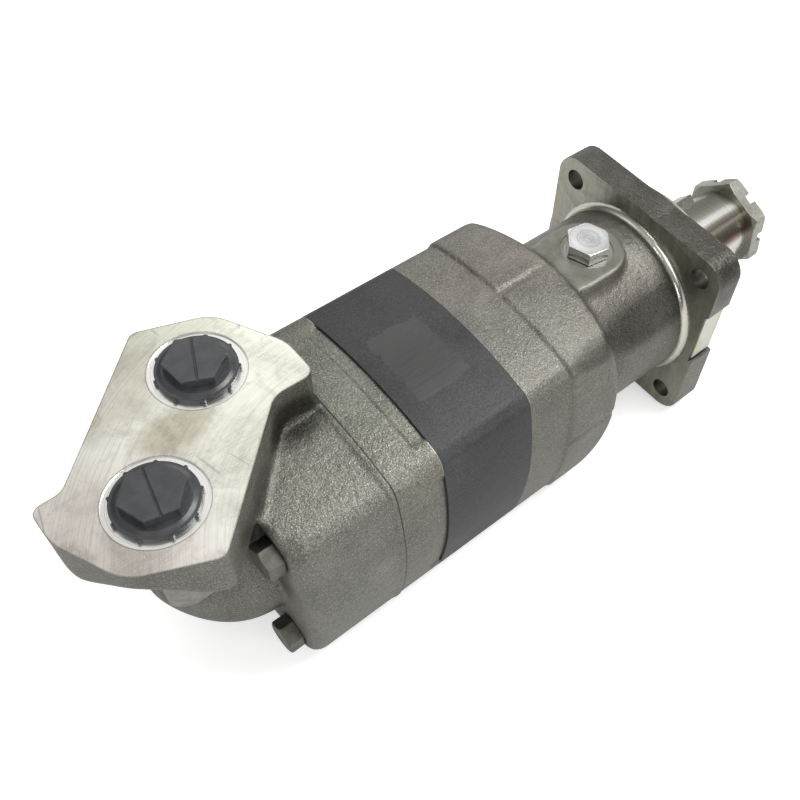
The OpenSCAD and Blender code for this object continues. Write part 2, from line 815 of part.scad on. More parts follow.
module shaft_nut() {
    color(bright_steel) translate([nut_start + seat_gap, 0, 0]) rotate([nut_turn, 0, 0]) rotate([0, 90, 0])
        difference() {
            intersection() {
                rotate(90) hex_prism(nut_hex, nut_t, nut_chamfer / 2);
                translate([0, 0, nut_t]) rotate([180, 0, 90]) hex_prism(nut_hex, nut_t, nut_chamfer);
            }
            translate([0, 0, -cut]) cylinder(h = nut_t + 2 * cut, d = shaft_thread_d + 2 * run_gap);
            for (a = [0, 60, 120]) rotate(a)
                translate([-nut_hex, -nut_slot_w / 2, nut_t - nut_slot_depth])
                cube([2 * nut_hex, nut_slot_w, nut_slot_depth + cut]);
        }
}

// Main drive and valve drive, whose crowned splines let them tilt

// A crowned spline head about the X axis, with its middle at the origin
module drive_head(d, len) {
    crown = sqrt(pow(d / 2, 2) + pow(crown_start * len, 2));
    intersection() {
        slab(-len / 2, len / 2) spline_teeth_2d(d);
        rotate([0, 90, 0]) cylinder(h = len, r = d / 2, center = true);
        sphere(r = crown);
    }
}

// It leans from the shaft's axis at the front to the star's axis at the rear
module main_drive() {
    len = (x_drive_front - x_drive_rear) / cos(drive_tilt);
    color(dark_steel) translate([x_drive_front, 0, 0]) rotate([0, 0, -drive_tilt]) {
        drive_head(spline_d, drive_head_l);
        bar(-len, 0, drive_waist_d / 2);
        translate([-len, 0, 0]) drive_head(spline_d, drive_head_l);
    }
}

// It leans back from the star's axis to the motor axis, where the disc valve turns
module valve_drive() {
    len = (x_valve_drive_front - x_valve_drive_rear) / cos(valve_tilt);
    color(dark_steel) translate([x_valve_drive_front, orbit_r, 0]) rotate([0, 0, valve_tilt]) {
        drive_head(spline_d, valve_head_l);
        bar(-len, 0, valve_spline_d / 2 - spline_h - 1);
        translate([-len, 0, 0]) drive_head(valve_spline_d, valve_head_l);
    }
}

module drive_spacer() {
    r = spline_d / 2 - spline_h + spline_gap - run_gap;
    color(bright_steel) translate([0, orbit_r, 0]) difference() {
        bar(x_spacer - spacer_t / 2, x_spacer + spacer_t / 2, r);
        bar(x_spacer - spacer_t, x_spacer + spacer_t, spacer_hole_r);
    }
}

// Roller ring, rollers and star

module roller_ring() {
    color(ring_black) difference() {
        slab(x_plate, x_ring) body_outline();
        bar(x_plate - cut, x_ring + cut, ring_bore_r);
        for (i = [0 : roller_count - 1]) rotate([i * 360 / roller_count, 0, 0])
            translate([0, roller_circle_r, 0]) bar(x_plate - cut, x_ring + cut, roller_r + run_gap);
        slab(x_plate - cut, x_ring + cut) at_corners_2d(bolt_off) circle(r = bolt_hole_r);
    }
}

module roller(i) {
    color(bright_steel) rotate([(i - 1) * 360 / roller_count, 0, 0]) translate([0, roller_circle_r, 0])
        bar(x_plate + side_gap, x_ring - side_gap, roller_r);
}

// Outline of the star, the envelope of the rollers as it orbits among them
function lean_angle(t) = atan2(sin(-star_lobes * t),
    roller_circle_r / (orbit_r * roller_count) - cos(star_lobes * t));
function crowded(a) = a - star_crowding * sin(star_lobes * a) / star_lobes * 180 / PI;
function star_point(t) = let (f = lean_angle(t), g = roller_r + star_gap)
    [roller_circle_r * cos(t) - g * cos(t + f) - orbit_r * cos(roller_count * t),
     -roller_circle_r * sin(t) + g * sin(t + f) + orbit_r * sin(roller_count * t)];

module star() {
    color(dark_steel) translate([0, orbit_r, 0]) slab(x_plate + side_gap, x_ring - side_gap) difference() {
        polygon([for (i = [0 : star_steps - 1]) star_point(crowded(i * 360 / star_steps))]);
        spline_hole_2d(spline_d);
    }
}

// Valve plate, disc valve and balance ring

// The relief along its front edge leaves the corners at full height
module valve_plate() {
    pad_from = body_corner - 4;
    color(cast_grey) difference() {
        union() {
            slab(x_joint, x_plate - plate_relief_w) body_outline();
            slab(x_plate - plate_relief_w, x_plate) body_outline(-plate_relief);
            intersection() {
                slab(x_plate - plate_relief_w, x_plate) body_outline();
                for (a = [0 : 90 : 270]) rotate([a, 0, 0]) translate([x_joint, pad_from, pad_from])
                    cube([plate_t, body_w, body_w]);
            }
        }
        bar(x_joint - cut, x_plate + cut, valve_spline_d / 2 + orbit_r);
        for (i = [0 : roller_count - 1]) rotate([(i + 0.5) * 360 / roller_count, 0, 0])
            translate([0, timing_circle_d / 2, 0]) bar(x_joint - cut, x_plate + cut, timing_hole_d / 2);
        slab(x_joint - cut, x_plate + cut) at_corners_2d(bolt_off) circle(r = bolt_hole_r);
        section_groove(x_plate - section_groove_depth);
        section_groove(x_joint - cut);
    }
}

module disc_valve() {
    pockets = 2 * star_lobes;
    color(bronze) difference() {
        bar(x_disc_back, x_joint - run_gap, disc_r);
        slab(x_disc_back + disc_floor_t, x_joint + cut) spline_hole_2d(valve_spline_d);
        bar(x_disc_back - cut, x_disc_back + disc_floor_t + cut, valve_spline_d / 2 - spline_h);
        for (i = [0 : pockets - 1]) rotate([i * 360 / pockets, 0, 0])
            translate([0, timing_circle_d / 2, 0])
            if (i % 2 == 0) bar(x_disc_back - cut, x_joint + cut, timing_hole_d / 2);
            else translate([x_joint - disc_pocket_depth, -timing_hole_d / 2, -timing_hole_d / 2])
                cube([disc_pocket_depth + cut, disc_d, timing_hole_d]);
    }
}

module balance_ring() {
    x0 = x_disc_back - run_gap;
    x_step = x_valve_step + 1;
    guide_r = balance_guide_r - run_gap;
    x_groove = x_balance_seal - seal_groove_w / 2;
    color(bright_steel) difference() {
        turned() polygon([[balance_bore_r, x0], [balance_head_r, x0], [balance_head_r, x_step],
            [guide_r, x_step], [guide_r, x_balance_back], [balance_bore_r, x_balance_back]]);
        turned() translate([guide_r - seal_groove_depth, x_groove]) square([disc_r, seal_groove_w]);
        turned() translate([0, x_groove]) square([balance_bore_r + seal_groove_depth, seal_groove_w]);
        at_springs() bar(x_balance_back - cut, x_balance_back + spring_pocket, spring_r + 1);
        at_pins() bar(x_balance_back - cut, x_balance_back + pin_reach + cut, pin_r + run_gap);
    }
}

module seal_ring(x, r, section) {
    turned() translate([r, x]) circle(r = section, $fn = 24);
}

module balance_inner_seal() {
    r = hub_r + seal_section_r + run_gap;
    color(rubber_black) seal_ring(x_balance_seal, r, seal_section_r);
}

module balance_outer_seal() {
    r = balance_guide_r - seal_section_r - run_gap;
    color(rubber_black) seal_ring(x_balance_seal, r, seal_section_r);
}

module at_springs() {
    for (a = [30 : 120 : 270]) rotate([a, 0, 0]) translate([0, back_mid_r, 0]) children();
}
module at_pins() {
    for (a = [90, 210]) rotate([a, 0, 0]) translate([0, back_mid_r, 0]) children();
}

// A round wire wound along X, as one closed tube
module coil(x0, x1, r, wire, turns) {
    ring = 6;
    rings = turns * 14;
    lift = x1 - x0 - 2 * wire;
    pts = [for (i = [0 : rings]) let (a = 360 * turns * i / rings, x = x0 + wire + lift * i / rings)
        for (j = [0 : ring - 1]) let (b = 360 * j / ring, d = r + wire * cos(b))
            [x + wire * sin(b), d * cos(a), d * sin(a)]];
    faces = concat([[for (j = [0 : ring - 1]) j]],
        [for (i = [0 : rings - 1], j = [0 : ring - 1]) let (a = i * ring + j, b = i * ring + (j + 1) % ring)
            [b, a, a + ring, b + ring]],
        [[for (j = [0 : ring - 1]) rings * ring + ring - 1 - j]]);
    polyhedron(pts, faces);
}

module balance_springs() {
    color(bright_steel) at_springs()
        coil(x_valve_end + spring_end_gap, x_balance_back + spring_pocket - spring_end_gap,
             spring_r - spring_wire_r, spring_wire_r, spring_turns);
}

module balance_pins() {
    color(bright_steel) at_pins() bar(x_valve_end - pin_root, x_balance_back + pin_reach, pin_r);
}

// Valve housing with the port pad

module pad_outline() {
    translate([pad_x, pad_shift]) polygon(rounded(pad_corners, 10));
}

// Both ends of the pad are undercut along the line through the ports
module port_pad() {
    difference() {
        translate([0, 0, pad_under_z]) linear_extrude(pad_t) pad_outline();
        for (a = [45, 225]) translate([pad_x, pad_shift, pad_under_z]) rotate(a) rotate([90, 0, 0])
            linear_extrude(2 * pad_neck_w, center = true) polygon([[undercut_dist, 0],
                [undercut_dist + undercut_run, undercut_rise], [undercut_dist + 2 * undercut_run, -cut],
                [undercut_dist, -cut]]);
    }
}

// A concave fillet at the foot of the pad's wall that starts at corner i
module wall_fillet(i) {
    p = xy(pad_corners[i]);
    way = xy(pad_corners[i + 1]) - p;
    translate([pad_x + p[0], pad_shift + p[1], pad_fillet_z]) rotate(atan2(way[1], way[0]))
        rotate([90, 0, 90]) linear_extrude(norm(way)) difference() {
            translate([-cut, -cut]) square(pad_fillet_r + cut);
            translate([pad_fillet_r, pad_fillet_r]) circle(r = pad_fillet_r);
        }
}
module pad_fillets() {
    intersection() {
        slab(x_rear, x_joint) square(2 * body_w, center = true);
        for (i = filleted_corners) wall_fillet(i);
    }
}

module pad_neck() {
    h = pad_neck_w / 2;
    r = neck_edge_r;
    x_back = x_dome + neck_setback;
    translate([0, 0, pad_neck_z]) linear_extrude(pad_under_z - pad_neck_z + cut) {
        translate([x_back + r, -h]) square([x_rear - x_back - r + cut, 2 * h]);
        translate([x_back, -h + r]) square([r + cut, 2 * (h - r)]);
        for (s = [-1, 1]) translate([x_back + r, s * (h - r)]) circle(r = r);
    }
}

function dome_point(t) = [dome_d / 2 * pow(1 - pow(t, dome_power_x), 1 / dome_power_r),
                          x_rear - dome_len * t];
module dome() {
    turned() polygon(concat([[0, x_rear + cut], [dome_d / 2, x_rear + cut]],
        [for (i = [0 : dome_steps]) dome_point(sin(90 * i / dome_steps))]));
}

module port(p) {
    translate([p[0], p[1], pad_z - spot_depth]) cylinder(h = spot_depth + cut, d = port_spot_d);
    translate([p[0], p[1], pad_z - port_thread_depth]) cylinder(h = port_thread_depth, r = port_thread_r);
}

// The front port leads to the space round the disc valve, the rear port to the hub's bore
module port_passages() {
    r = port_passage_d / 2;
    top = pad_z - port_thread_depth + cut;
    front_end_z = bolt_off + bolt_hole_r + passage_wall;
    translate([front_port[0], front_port[1], front_end_z]) cylinder(h = top - front_end_z, r = r);
    drilling([front_port[0], front_port[1] - r * 0.3, front_end_z + r * 0.5],
             [x_disc_back, valve_cavity_r * 0.4, valve_cavity_r * 0.85], r * 0.6);
    translate([rear_port[0], rear_port[1], passage_end_z]) cylinder(h = top - passage_end_z, r = r);
    drilling([rear_port[0], rear_port[1], passage_end_z + r * 0.4],
             [x_valve_end - 2, rear_port[1] * 0.4, hub_bore_r * 0.4], r * 0.75);
}

module valve_cavity() {
    difference() {
        union() {
            bar(x_valve_step, x_joint + cut, valve_cavity_r);
            bar(x_valve_end, x_valve_step + cut, balance_guide_r);
        }
        bar(x_valve_end - cut, x_valve_step + 2, hub_r);
    }
    bar(x_valve_end - 6, x_valve_step + 3, hub_bore_r);
    at_pins() bar(x_valve_end - pin_root - pin_end_gap, x_valve_end + cut, pin_r + run_gap);
}

module valve_housing() {
    color(cast_grey) difference() {
        union() {
            slab(x_rear, x_joint) body_outline();
            slab(x_joint - joint_lip_w, x_joint) body_outline(joint_lip_h);
            dome();
            pad_neck();
            port_pad();
            pad_fillets();
        }
        slab(x_rear - 3 * bolt_head_h, x_rear + bolt_pocket)
            at_corners_2d(bolt_off) circle(r = bolt_pocket_r);
        slab(x_rear - cut, x_joint + cut) at_corners_2d(bolt_off) circle(r = bolt_hole_r);
        valve_cavity();
        port(front_port);
        port(rear_port);
        port_passages();
    }
}

// Fasteners, seals between the slices and plugs

module housing_bolts() {
    x0 = x_rear + bolt_pocket;
    color(dark_steel) at_corners(bolt_off) {
        bar(x0 - 2, x_ring + bolt_grip, bolt_r);
        translate([x0 - seat_gap, 0, 0]) rotate([0, -90, 0]) {
            cylinder(h = bolt_washer_t, d = bolt_hex - 0.6);
            translate([0, 0, bolt_washer_t / 2])
                hex_prism(bolt_hex, bolt_head_h - bolt_washer_t / 2, bolt_chamfer);
        }
    }
}

module section_seals() {
    inset = section_seal_section + section_seal_gap;
    color(rubber_black) for (x = [x_ring + inset, x_plate - inset, x_joint + inset])
        seal_ring(x, section_seal_r, section_seal_section);
}

module drain_plug() {
    z0 = drain_boss_z - spot_depth;
    color(zinc) translate([-drain_dist, 0, z0 + seat_gap]) {
        translate([0, 0, -drain_plug_len])
            cylinder(h = drain_plug_len - drain_relief_l, r = drain_thread_r);
        translate([0, 0, -drain_relief_l - cut])
            cylinder(h = drain_relief_l + 2 * cut, r = drain_thread_r - drain_relief);
        cylinder(h = cut, d = drain_hex - drain_face_inset);
        translate([0, 0, cut / 2]) rotate(drain_hex_turn) hex_prism(drain_hex, drain_hex_h, drain_chamfer);
    }
}

module drain_plug_seal() {
    z = drain_boss_z - spot_depth - drain_relief_l / 2;
    color(rubber_black) translate([-drain_dist, 0, z]) rotate_extrude()
        translate([drain_thread_r - drain_relief / 2, 0]) circle(r = drain_seal_r, $fn = 24);
}

// A moulded plug with a slotted hexagon and grip nubs around its flange
module port_plug(p, turn) {
    z0 = pad_z - spot_depth + seat_gap;
    top = plug_flange_t + plug_hex_h;
    color(plastic_black) translate([p[0], p[1], z0]) difference() {
        union() {
            translate([0, 0, -plug_body_l]) cylinder(h = plug_body_l + cut, r = port_thread_r - thread_gap);
            cylinder(h = plug_flange_t, d = plug_flange_d);
            translate([0, 0, plug_flange_t])
                cylinder(h = plug_bead_t, d1 = plug_flange_d - 3, d2 = plug_flange_d - 7);
            rotate(turn) translate([0, 0, plug_flange_t - cut])
                cylinder(h = plug_hex_h + cut, r = plug_hex / sqrt(3), $fn = 6);
            for (i = [0 : plug_nubs - 1]) rotate(turn + plug_nub_turn + i * 360 / plug_nubs)
                translate([plug_flange_d / 2, 0, 0])
                cylinder(h = plug_flange_t - 0.4, d = plug_nub_d, $fn = 24);
        }
        translate([0, 0, -plug_body_l - cut]) cylinder(h = plug_body_l, r = port_thread_r - plug_wall);
        rotate(turn + 30) translate([-plug_hex, -plug_slot_w / 2, top - 1])
            cube([2 * plug_hex, plug_slot_w, 2]);
    }
}

module port_plug_front() {
    port_plug(front_port, front_plug_turn);
}
module port_plug_rear() {
    port_plug(rear_port, rear_plug_turn);
}

bearing_housing();
dust_seal();
shaft_seal();
seal_backup_washer();
front_outer_race();
front_inner_race();
front_bearing_cage();
front_bearing_rollers();
bearing_spacer();
rear_outer_race();
rear_inner_race();
rear_bearing_cage();
rear_bearing_rollers();
bearing_lock_nut();
output_shaft();
shaft_key();
shaft_nut();
main_drive();
roller_ring();
roller(1);  // roller_1
roller(2);  // roller_2
roller(3);  // roller_3
roller(4);  // roller_4
roller(5);  // roller_5
roller(6);  // roller_6
roller(7);  // roller_7
star();
drive_spacer();
valve_drive();
valve_plate();
disc_valve();
balance_ring();
balance_inner_seal();
balance_outer_seal();
balance_springs();
balance_pins();
valve_housing();
housing_bolts();
section_seals();
drain_plug();
drain_plug_seal();
port_plug_front();
port_plug_rear();
nameplate_blank();
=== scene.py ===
import math
import bmesh
import bpy
import numpy as np
from mathutils import Matrix, Vector


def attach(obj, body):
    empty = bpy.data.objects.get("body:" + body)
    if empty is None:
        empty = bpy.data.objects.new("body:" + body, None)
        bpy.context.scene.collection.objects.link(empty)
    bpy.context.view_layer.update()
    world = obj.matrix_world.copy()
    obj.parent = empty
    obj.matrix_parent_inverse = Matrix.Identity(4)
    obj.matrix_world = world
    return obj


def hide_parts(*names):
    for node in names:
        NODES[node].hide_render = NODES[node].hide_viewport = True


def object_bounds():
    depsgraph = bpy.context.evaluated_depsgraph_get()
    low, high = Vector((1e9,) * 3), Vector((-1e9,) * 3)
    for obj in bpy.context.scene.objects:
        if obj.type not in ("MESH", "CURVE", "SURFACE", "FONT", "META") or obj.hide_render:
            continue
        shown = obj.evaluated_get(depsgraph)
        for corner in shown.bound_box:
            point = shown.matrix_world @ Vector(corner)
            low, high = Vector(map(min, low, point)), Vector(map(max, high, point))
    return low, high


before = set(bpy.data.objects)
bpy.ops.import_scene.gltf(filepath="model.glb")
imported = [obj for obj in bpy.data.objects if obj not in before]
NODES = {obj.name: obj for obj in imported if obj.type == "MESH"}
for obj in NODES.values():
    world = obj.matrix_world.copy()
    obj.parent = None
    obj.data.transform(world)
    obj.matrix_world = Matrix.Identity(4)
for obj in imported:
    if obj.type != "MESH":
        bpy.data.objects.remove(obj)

cad_low, cad_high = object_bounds()
SCENE = bpy.context.scene

# Places along the shaft's axis, in metres as all sizes here
X_FLANGE = -0.021       # rear face of the mounting flange
X_NECK = -0.0251        # in front of this the bearing housing shows its own solid
X_RING = -0.174         # joint between bearing housing and roller ring
X_PLATE = -0.2375       # joint between roller ring and valve plate
X_JOINT = -0.2685       # joint between valve plate and valve housing
X_REAR = -0.3325        # rear face round the bolt heads

# Port pad and drain boss
PAD_Z = 0.1007
PORTS = ((-0.31476, 0.03514), (-0.36864, -0.01874))
PORT_R = 0.0168
SPOT_R = 0.0245
SPOT_DEPTH = 0.0008
DRAIN_X = -0.068
DRAIN_Z = 0.066
DRAIN_R = 0.017

# The bearing housing's machined places
FLANGE_FACE_R = 0.0625          # outside this radius the flange's rear face is machined
FILLET_R = (0.0585, 0.0668)     # from and to radius of the turned fillet behind the flange
BORE_R = 0.0515                 # radius round the bores' walls
FLAT_Y = (-0.0712, -0.0690)     # the milled flat on the flange's side, for the blank plate
FLAT_Z = 0.010                  # its middle
FLAT_HALF = 0.0229              # its half length

# Distance of bolts and flange holes from both middle planes, and their radii with a margin
BOLT = 0.04808
BOLT_R = 0.0067
HOLE = 0.05724
HOLE_R = 0.0074

# The body's outline: half width, radius of the bowed sides, radius of the corners
BODY = 0.073
ARC = 0.220
EDGE = 0.012

# Making of the skins
VOXEL = 0.0008          # grid of the housings' skins
GRID = 0.0009           # grid that the rounds of softening are given for
DRAWN = 0.002           # how far a machined face is drawn out before it is cut back
REACH = 0.2             # half size of the cutting blocks
ROOM = 0.05             # depth of the cutting blocks behind a joint
BOLT_SEAT = 0.0012      # margin round a bolt hole in which a skin stays on the solid
FRONT_SEAT = 0.056      # radius of the bores in which the bearing housing's skin stays on the solid
REAR_SEAT = 0.0545      # the same in the valve housing
HUB_SEAT = 0.030        # and behind the disc valve
PLATE_SEAT = 0.064      # and in the valve plate
DRAIN_SEAT = 0.0135     # and in the drain
PORT_SEAT = 0.0180      # and in the ports
REAR_ROUND = 0.010      # radius of the edge round the rear face
SHARP = math.radians(38)
LONG_EDGE = 0.003       # only the plane faces of the solids have edges this long


# Shader nodes

def times(color, factor):
    """A colour made darker or lighter."""
    return tuple(min(1.0, v * factor) for v in color)


class Shader:
    """Builds one material out of nodes."""

    def __init__(self, name):
        self.mat = bpy.data.materials.new(name)
        self.mat.use_nodes = True
        self.tree = self.mat.node_tree
        self.tree.nodes.clear()
        out = self.tree.nodes.new("ShaderNodeOutputMaterial")
        self.bsdf = self.tree.nodes.new("ShaderNodeBsdfPrincipled")
        self.tree.links.new(self.bsdf.outputs[0], out.inputs[0])
        self.pos = self.tree.nodes.new("ShaderNodeTexCoord").outputs["Object"]

    def put(self, socket, value):
        """Links a socket, or sets a number or colour on it."""
        if isinstance(value, bpy.types.NodeSocket):
            self.tree.links.new(value, socket)
        elif isinstance(value, (tuple, list)):
            if len(value) == 3 and len(socket.default_value) == 4:
                value = tuple(value) + (1.0,)
            socket.default_value = value
        else:
            socket.default_value = value

    def node(self, kind, out=0, props=None, **sockets):
        """Adds a node. Inputs are given by name, or as i0, i1 by place."""
        n = self.tree.nodes.new("ShaderNode" + kind)
        for key, value in (props or {}).items():
            setattr(n, key, value)
        for key, value in sockets.items():
            key = int(key[1:]) if key[0] == "i" and key[1:].isdigit() else key.replace("_", " ")
            self.put(n.inputs[key], value)
        return n.outputs[out]

    def math(self, op, a, b=0.0):
        return self.node("Math", props={"operation": op}, i0=a, i1=b)

    def mul(self, a, b):
        return self.math("MULTIPLY", a, b)

    def add(self, a, b):
        return self.math("ADD", a, b)

    def sub(self, a, b):
        return self.math("SUBTRACT", a, b)

    def noise(self, scale, detail=3.0, rough=0.55, vector=None, distortion=0.0):
        return self.node("TexNoise", out="Fac", Vector=vector or self.pos, Scale=scale, Detail=detail,
                         Roughness=rough, Distortion=distortion)

    def cells(self, scale, feature="F1", vector=None):
        return self.node("TexVoronoi", out="Distance", props={"feature": feature},
                         Vector=vector or self.pos, Scale=scale)

    def stretch(self, sx, sy, sz, turn=0.0):
        return self.node("Mapping", Vector=self.pos, Scale=(sx, sy, sz), Rotation=(0.0, 0.0, turn))

    def span(self, value, a, b, low=0.0, high=1.0):
        """low where value is at a, high where it is at b, with a soft change between."""
        return self.node("MapRange", props={"interpolation_type": "SMOOTHSTEP"},
                         Value=value, From_Min=a, From_Max=b, To_Min=low, To_Max=high)

    def band(self, value, low, high, blur):
        """1 where value is between low and high, 0 outside."""
        return self.mul(self.span(value, low, low + blur), self.span(value, high, high - blur))

    def ramp(self, fac, stops):
        n = self.tree.nodes.new("ShaderNodeValToRGB")
        bar = n.color_ramp
        while len(bar.elements) < len(stops):
            bar.elements.new(0.5)
        for e, (p, c) in zip(bar.elements, stops):
            e.position = p
            e.color = tuple(c) + (1.0,)
        self.put(n.inputs[0], fac)
        return n.outputs[0]

    def mix(self, fac, a, b, blend="MIX"):
        n = self.tree.nodes.new("ShaderNodeMix")
        n.data_type = "RGBA"
        n.blend_type = blend
        n.clamp_factor = True
        self.put(n.inputs[0], fac)
        self.put(n.inputs[6], a)
        self.put(n.inputs[7], b)
        return n.outputs[2]

    def mixf(self, fac, a, b):
        n = self.tree.nodes.new("ShaderNodeMix")
        n.data_type = "FLOAT"
        self.put(n.inputs[0], fac)
        self.put(n.inputs[2], a)
        self.put(n.inputs[3], b)
        return n.outputs[0]

    def split(self, vector=None):
        n = self.tree.nodes.new("ShaderNodeSeparateXYZ")
        self.put(n.inputs[0], vector or self.pos)
        return n.outputs

    def join(self, x, y, z):
        return self.node("CombineXYZ", i0=x, i1=y, i2=z)

    def radius(self, a, b, ca=0.0, cb=0.0):
        da = self.sub(a, ca)
        db = self.sub(b, cb)
        return self.math("SQRT", self.add(self.mul(da, da), self.mul(db, db)))

    def inside(self, centre, size):
        """Distance from a centre, 1 on the ellipsoid of the given half sizes."""
        moved = self.node("Mapping", Vector=self.pos, Scale=tuple(1.0 / r for r in size),
                          Location=tuple(-c / r for c, r in zip(centre, size)))
        return self.node("VectorMath", out="Value", props={"operation": "LENGTH"}, i0=moved)

    def bevel(self, radius):
        return self.node("Bevel", props={"samples": 4}, Radius=radius)

    def bump(self, height, distance, strength=1.0, normal=None):
        n = self.tree.nodes.new("ShaderNodeBump")
        n.inputs["Strength"].default_value = strength
        n.inputs["Distance"].default_value = distance
        self.put(n.inputs["Height"], height)
        if normal is not None:
            self.put(n.inputs["Normal"], normal)
        return n.outputs[0]

    def finish(self, color, rough, metal, normal=None, **extra):
        self.put(self.bsdf.inputs["Base Color"], color)
        self.put(self.bsdf.inputs["Roughness"], rough)
        self.bsdf.inputs["Metallic"].default_value = metal
        if normal is not None:
            self.put(self.bsdf.inputs["Normal"], normal)
        for key, value in extra.items():
            self.put(self.bsdf.inputs[key.replace("_", " ")], value)
        return self.mat


def cast_iron(name, dark, mid, light, rough=0.5, grain=1.0, tint=0.5, edge=0.6, zones=(), seam=None):
    """Bare blasted casting: fine bright grain, slow stains, edges lighter by wear and painted highlight,
    painted shade in hollows and creases. zones lists places of painted shade as (centre, half sizes, share
    of the colour that is left), seam is the x of a dark joint line."""
    s = Shader(name)
    fine = s.noise(1150.0, 4.0, 0.7)
    cell = s.cells(900.0)
    slow = s.noise(34.0, 3.0, 0.55)
    wide = s.noise(11.0, 2.0, 0.5)
    speck = s.span(s.noise(1500.0, 2.0, 0.6), 0.55, 0.70)
    pit = s.span(s.noise(420.0, 3.0, 0.65), 0.44, 0.32)
    base = s.ramp(s.add(s.mul(fine, 0.62), s.mul(slow, 0.38)),
                  [(0.33, dark), (0.52, mid), (0.70, light)])
    base = s.mix(s.mul(speck, 0.62 * grain), base, times(light, 1.55))
    base = s.mix(s.mul(pit, 0.35 * grain), base, times(dark, 0.7))
    warm = s.mix(s.span(wide, 0.40, 0.64), (1.04, 0.99, 0.93), (0.95, 1.01, 0.98))
    base = s.mix(tint, base, warm, "MULTIPLY")
    x = s.split()[0]
    on_solid = s.span(x, X_NECK - 0.0013, X_NECK - 0.0001)
    point = s.mixf(on_solid, s.node("NewGeometry", out="Pointiness"), 0.5)
    # Convex edges, found by pointiness, are lighter: partly wear, partly painted highlight.
    worn_and_highlit_edges = s.span(point, 0.508, 0.535)
    # Painted shade: concave places, found by pointiness, are darkened.
    painted_crease_shade = s.span(point, 0.492, 0.462)
    base = s.mix(s.mul(worn_and_highlit_edges, edge), base, times(light, 1.25))
    base = s.mix(s.mul(painted_crease_shade, 0.6), base, times(dark, 0.55))
    # Painted shade: ambient occlusion darkens the colour in hollows, seams and between parts.
    painted_hollow_shade = s.node("AmbientOcclusion", out="AO", props={"samples": 8}, Distance=0.020)
    base = s.mix(s.span(painted_hollow_shade, 0.72, 0.30), base, times(dark, 0.35))
    # Painted shade: each zone darkens the colour round its centre.
    for centre, size, keep in zones:
        base = s.mix(s.span(s.inside(centre, size), 1.0, 0.45), base, (keep, keep, keep), "MULTIPLY")
    if seam is not None:
        line = s.span(s.math("ABSOLUTE", s.sub(x, seam)), 0.0012, 0.0006)
        base = s.mix(s.mul(line, 0.85), base, times(dark, 0.25))
    r = s.span(slow, 0.3, 0.7, rough - 0.05, rough + 0.08)
    h = s.add(s.mul(fine, 0.6), s.mul(cell, 0.5))
    n1 = s.bump(h, 0.00028 * grain, 0.85)
    n2 = s.bump(s.noise(270.0, 3.0, 0.6), 0.0007 * grain, 0.7, n1)
    return s.finish(base, r, 0.82, n2)


def milled(name, base_lo, base_hi, rough=0.3, turn=0.6, outline=0.0, zones=()):
    """A machined face: cutter lines and arcs, stains, scratches, a dark outline. zones lists tinted places
    as (centre, half sizes, tint, amount)."""
    s = Shader(name)
    line = s.noise(60.0, 4.0, 0.65, s.stretch(1.0, 26.0, 1.0, turn))
    line2 = s.noise(160.0, 3.0, 0.6, s.stretch(1.0, 14.0, 1.0, turn + 1.1))
    stain = s.noise(22.0, 4.0, 0.6, distortion=0.8)
    blot = s.noise(48.0, 5.0, 0.62, distortion=1.4)
    base = s.mix(s.span(stain, 0.40, 0.62), base_lo, base_hi)
    base = s.mix(s.mul(s.span(line, 0.42, 0.66), 0.30), base, times(base_hi, 1.18))
    brown = tuple(v * k for v, k in zip(base_lo, (0.78, 0.70, 0.66)))
    base = s.mix(s.mul(s.span(blot, 0.54, 0.66), 0.38), base, brown)
    dull = s.span(s.noise(90.0, 6.0, 0.7, distortion=0.6), 0.52, 0.68)
    base = s.mix(s.mul(dull, 0.30), base, times(base_lo, 0.62))
    x, y = s.split()[:2]
    sweep = s.radius(x, y, -0.260, -0.115)
    arc = s.noise(900.0, 5.0, 0.72, s.join(sweep, s.mul(stain, 0.004), 0.0))
    base = s.mix(s.mul(s.span(arc, 0.40, 0.62), 0.34), base, times(base_lo, 0.70))
    across = s.add(s.add(x, s.mul(y, 0.6)), s.mul(stain, 0.06))
    side = s.span(across, -0.40, -0.30)
    base = s.mix(0.9, base, s.mix(side, (1.00, 0.95, 0.95), (0.99, 1.00, 0.93)), "MULTIPLY")
    warp = s.mul(s.sub(blot, 0.5), 1.1)
    for centre, size, tone, amount in zones:
        blur = s.add(s.inside(centre, size), warp)
        base = s.mix(s.mul(s.span(blur, 1.15, 0.45), amount), base, tone, "MULTIPLY")
    rim = s.span(s.split(s.bevel(0.0013))[2], 0.99, 0.93)
    base = s.mix(s.mul(rim, outline), base, times(base_lo, 0.12))
    web = s.cells(38.0, "DISTANCE_TO_EDGE", s.stretch(1.0, 0.22, 1.0, turn - 0.9))
    scratch = s.mul(s.span(web, 0.012, 0.004), s.span(s.noise(30.0, 1.0), 0.54, 0.60))
    base = s.mix(s.mul(scratch, 0.6), base, times(base_lo, 0.6))
    r = s.mixf(s.span(stain, 0.3, 0.7), rough - 0.08, rough + 0.10)
    r = s.mixf(s.mul(dull, 0.5), r, rough + 0.22)
    height = s.add(s.mul(line, 0.5), s.mul(line2, 0.5))
    return s.finish(base, r, 0.95, s.bump(height, 0.00016, 0.65))


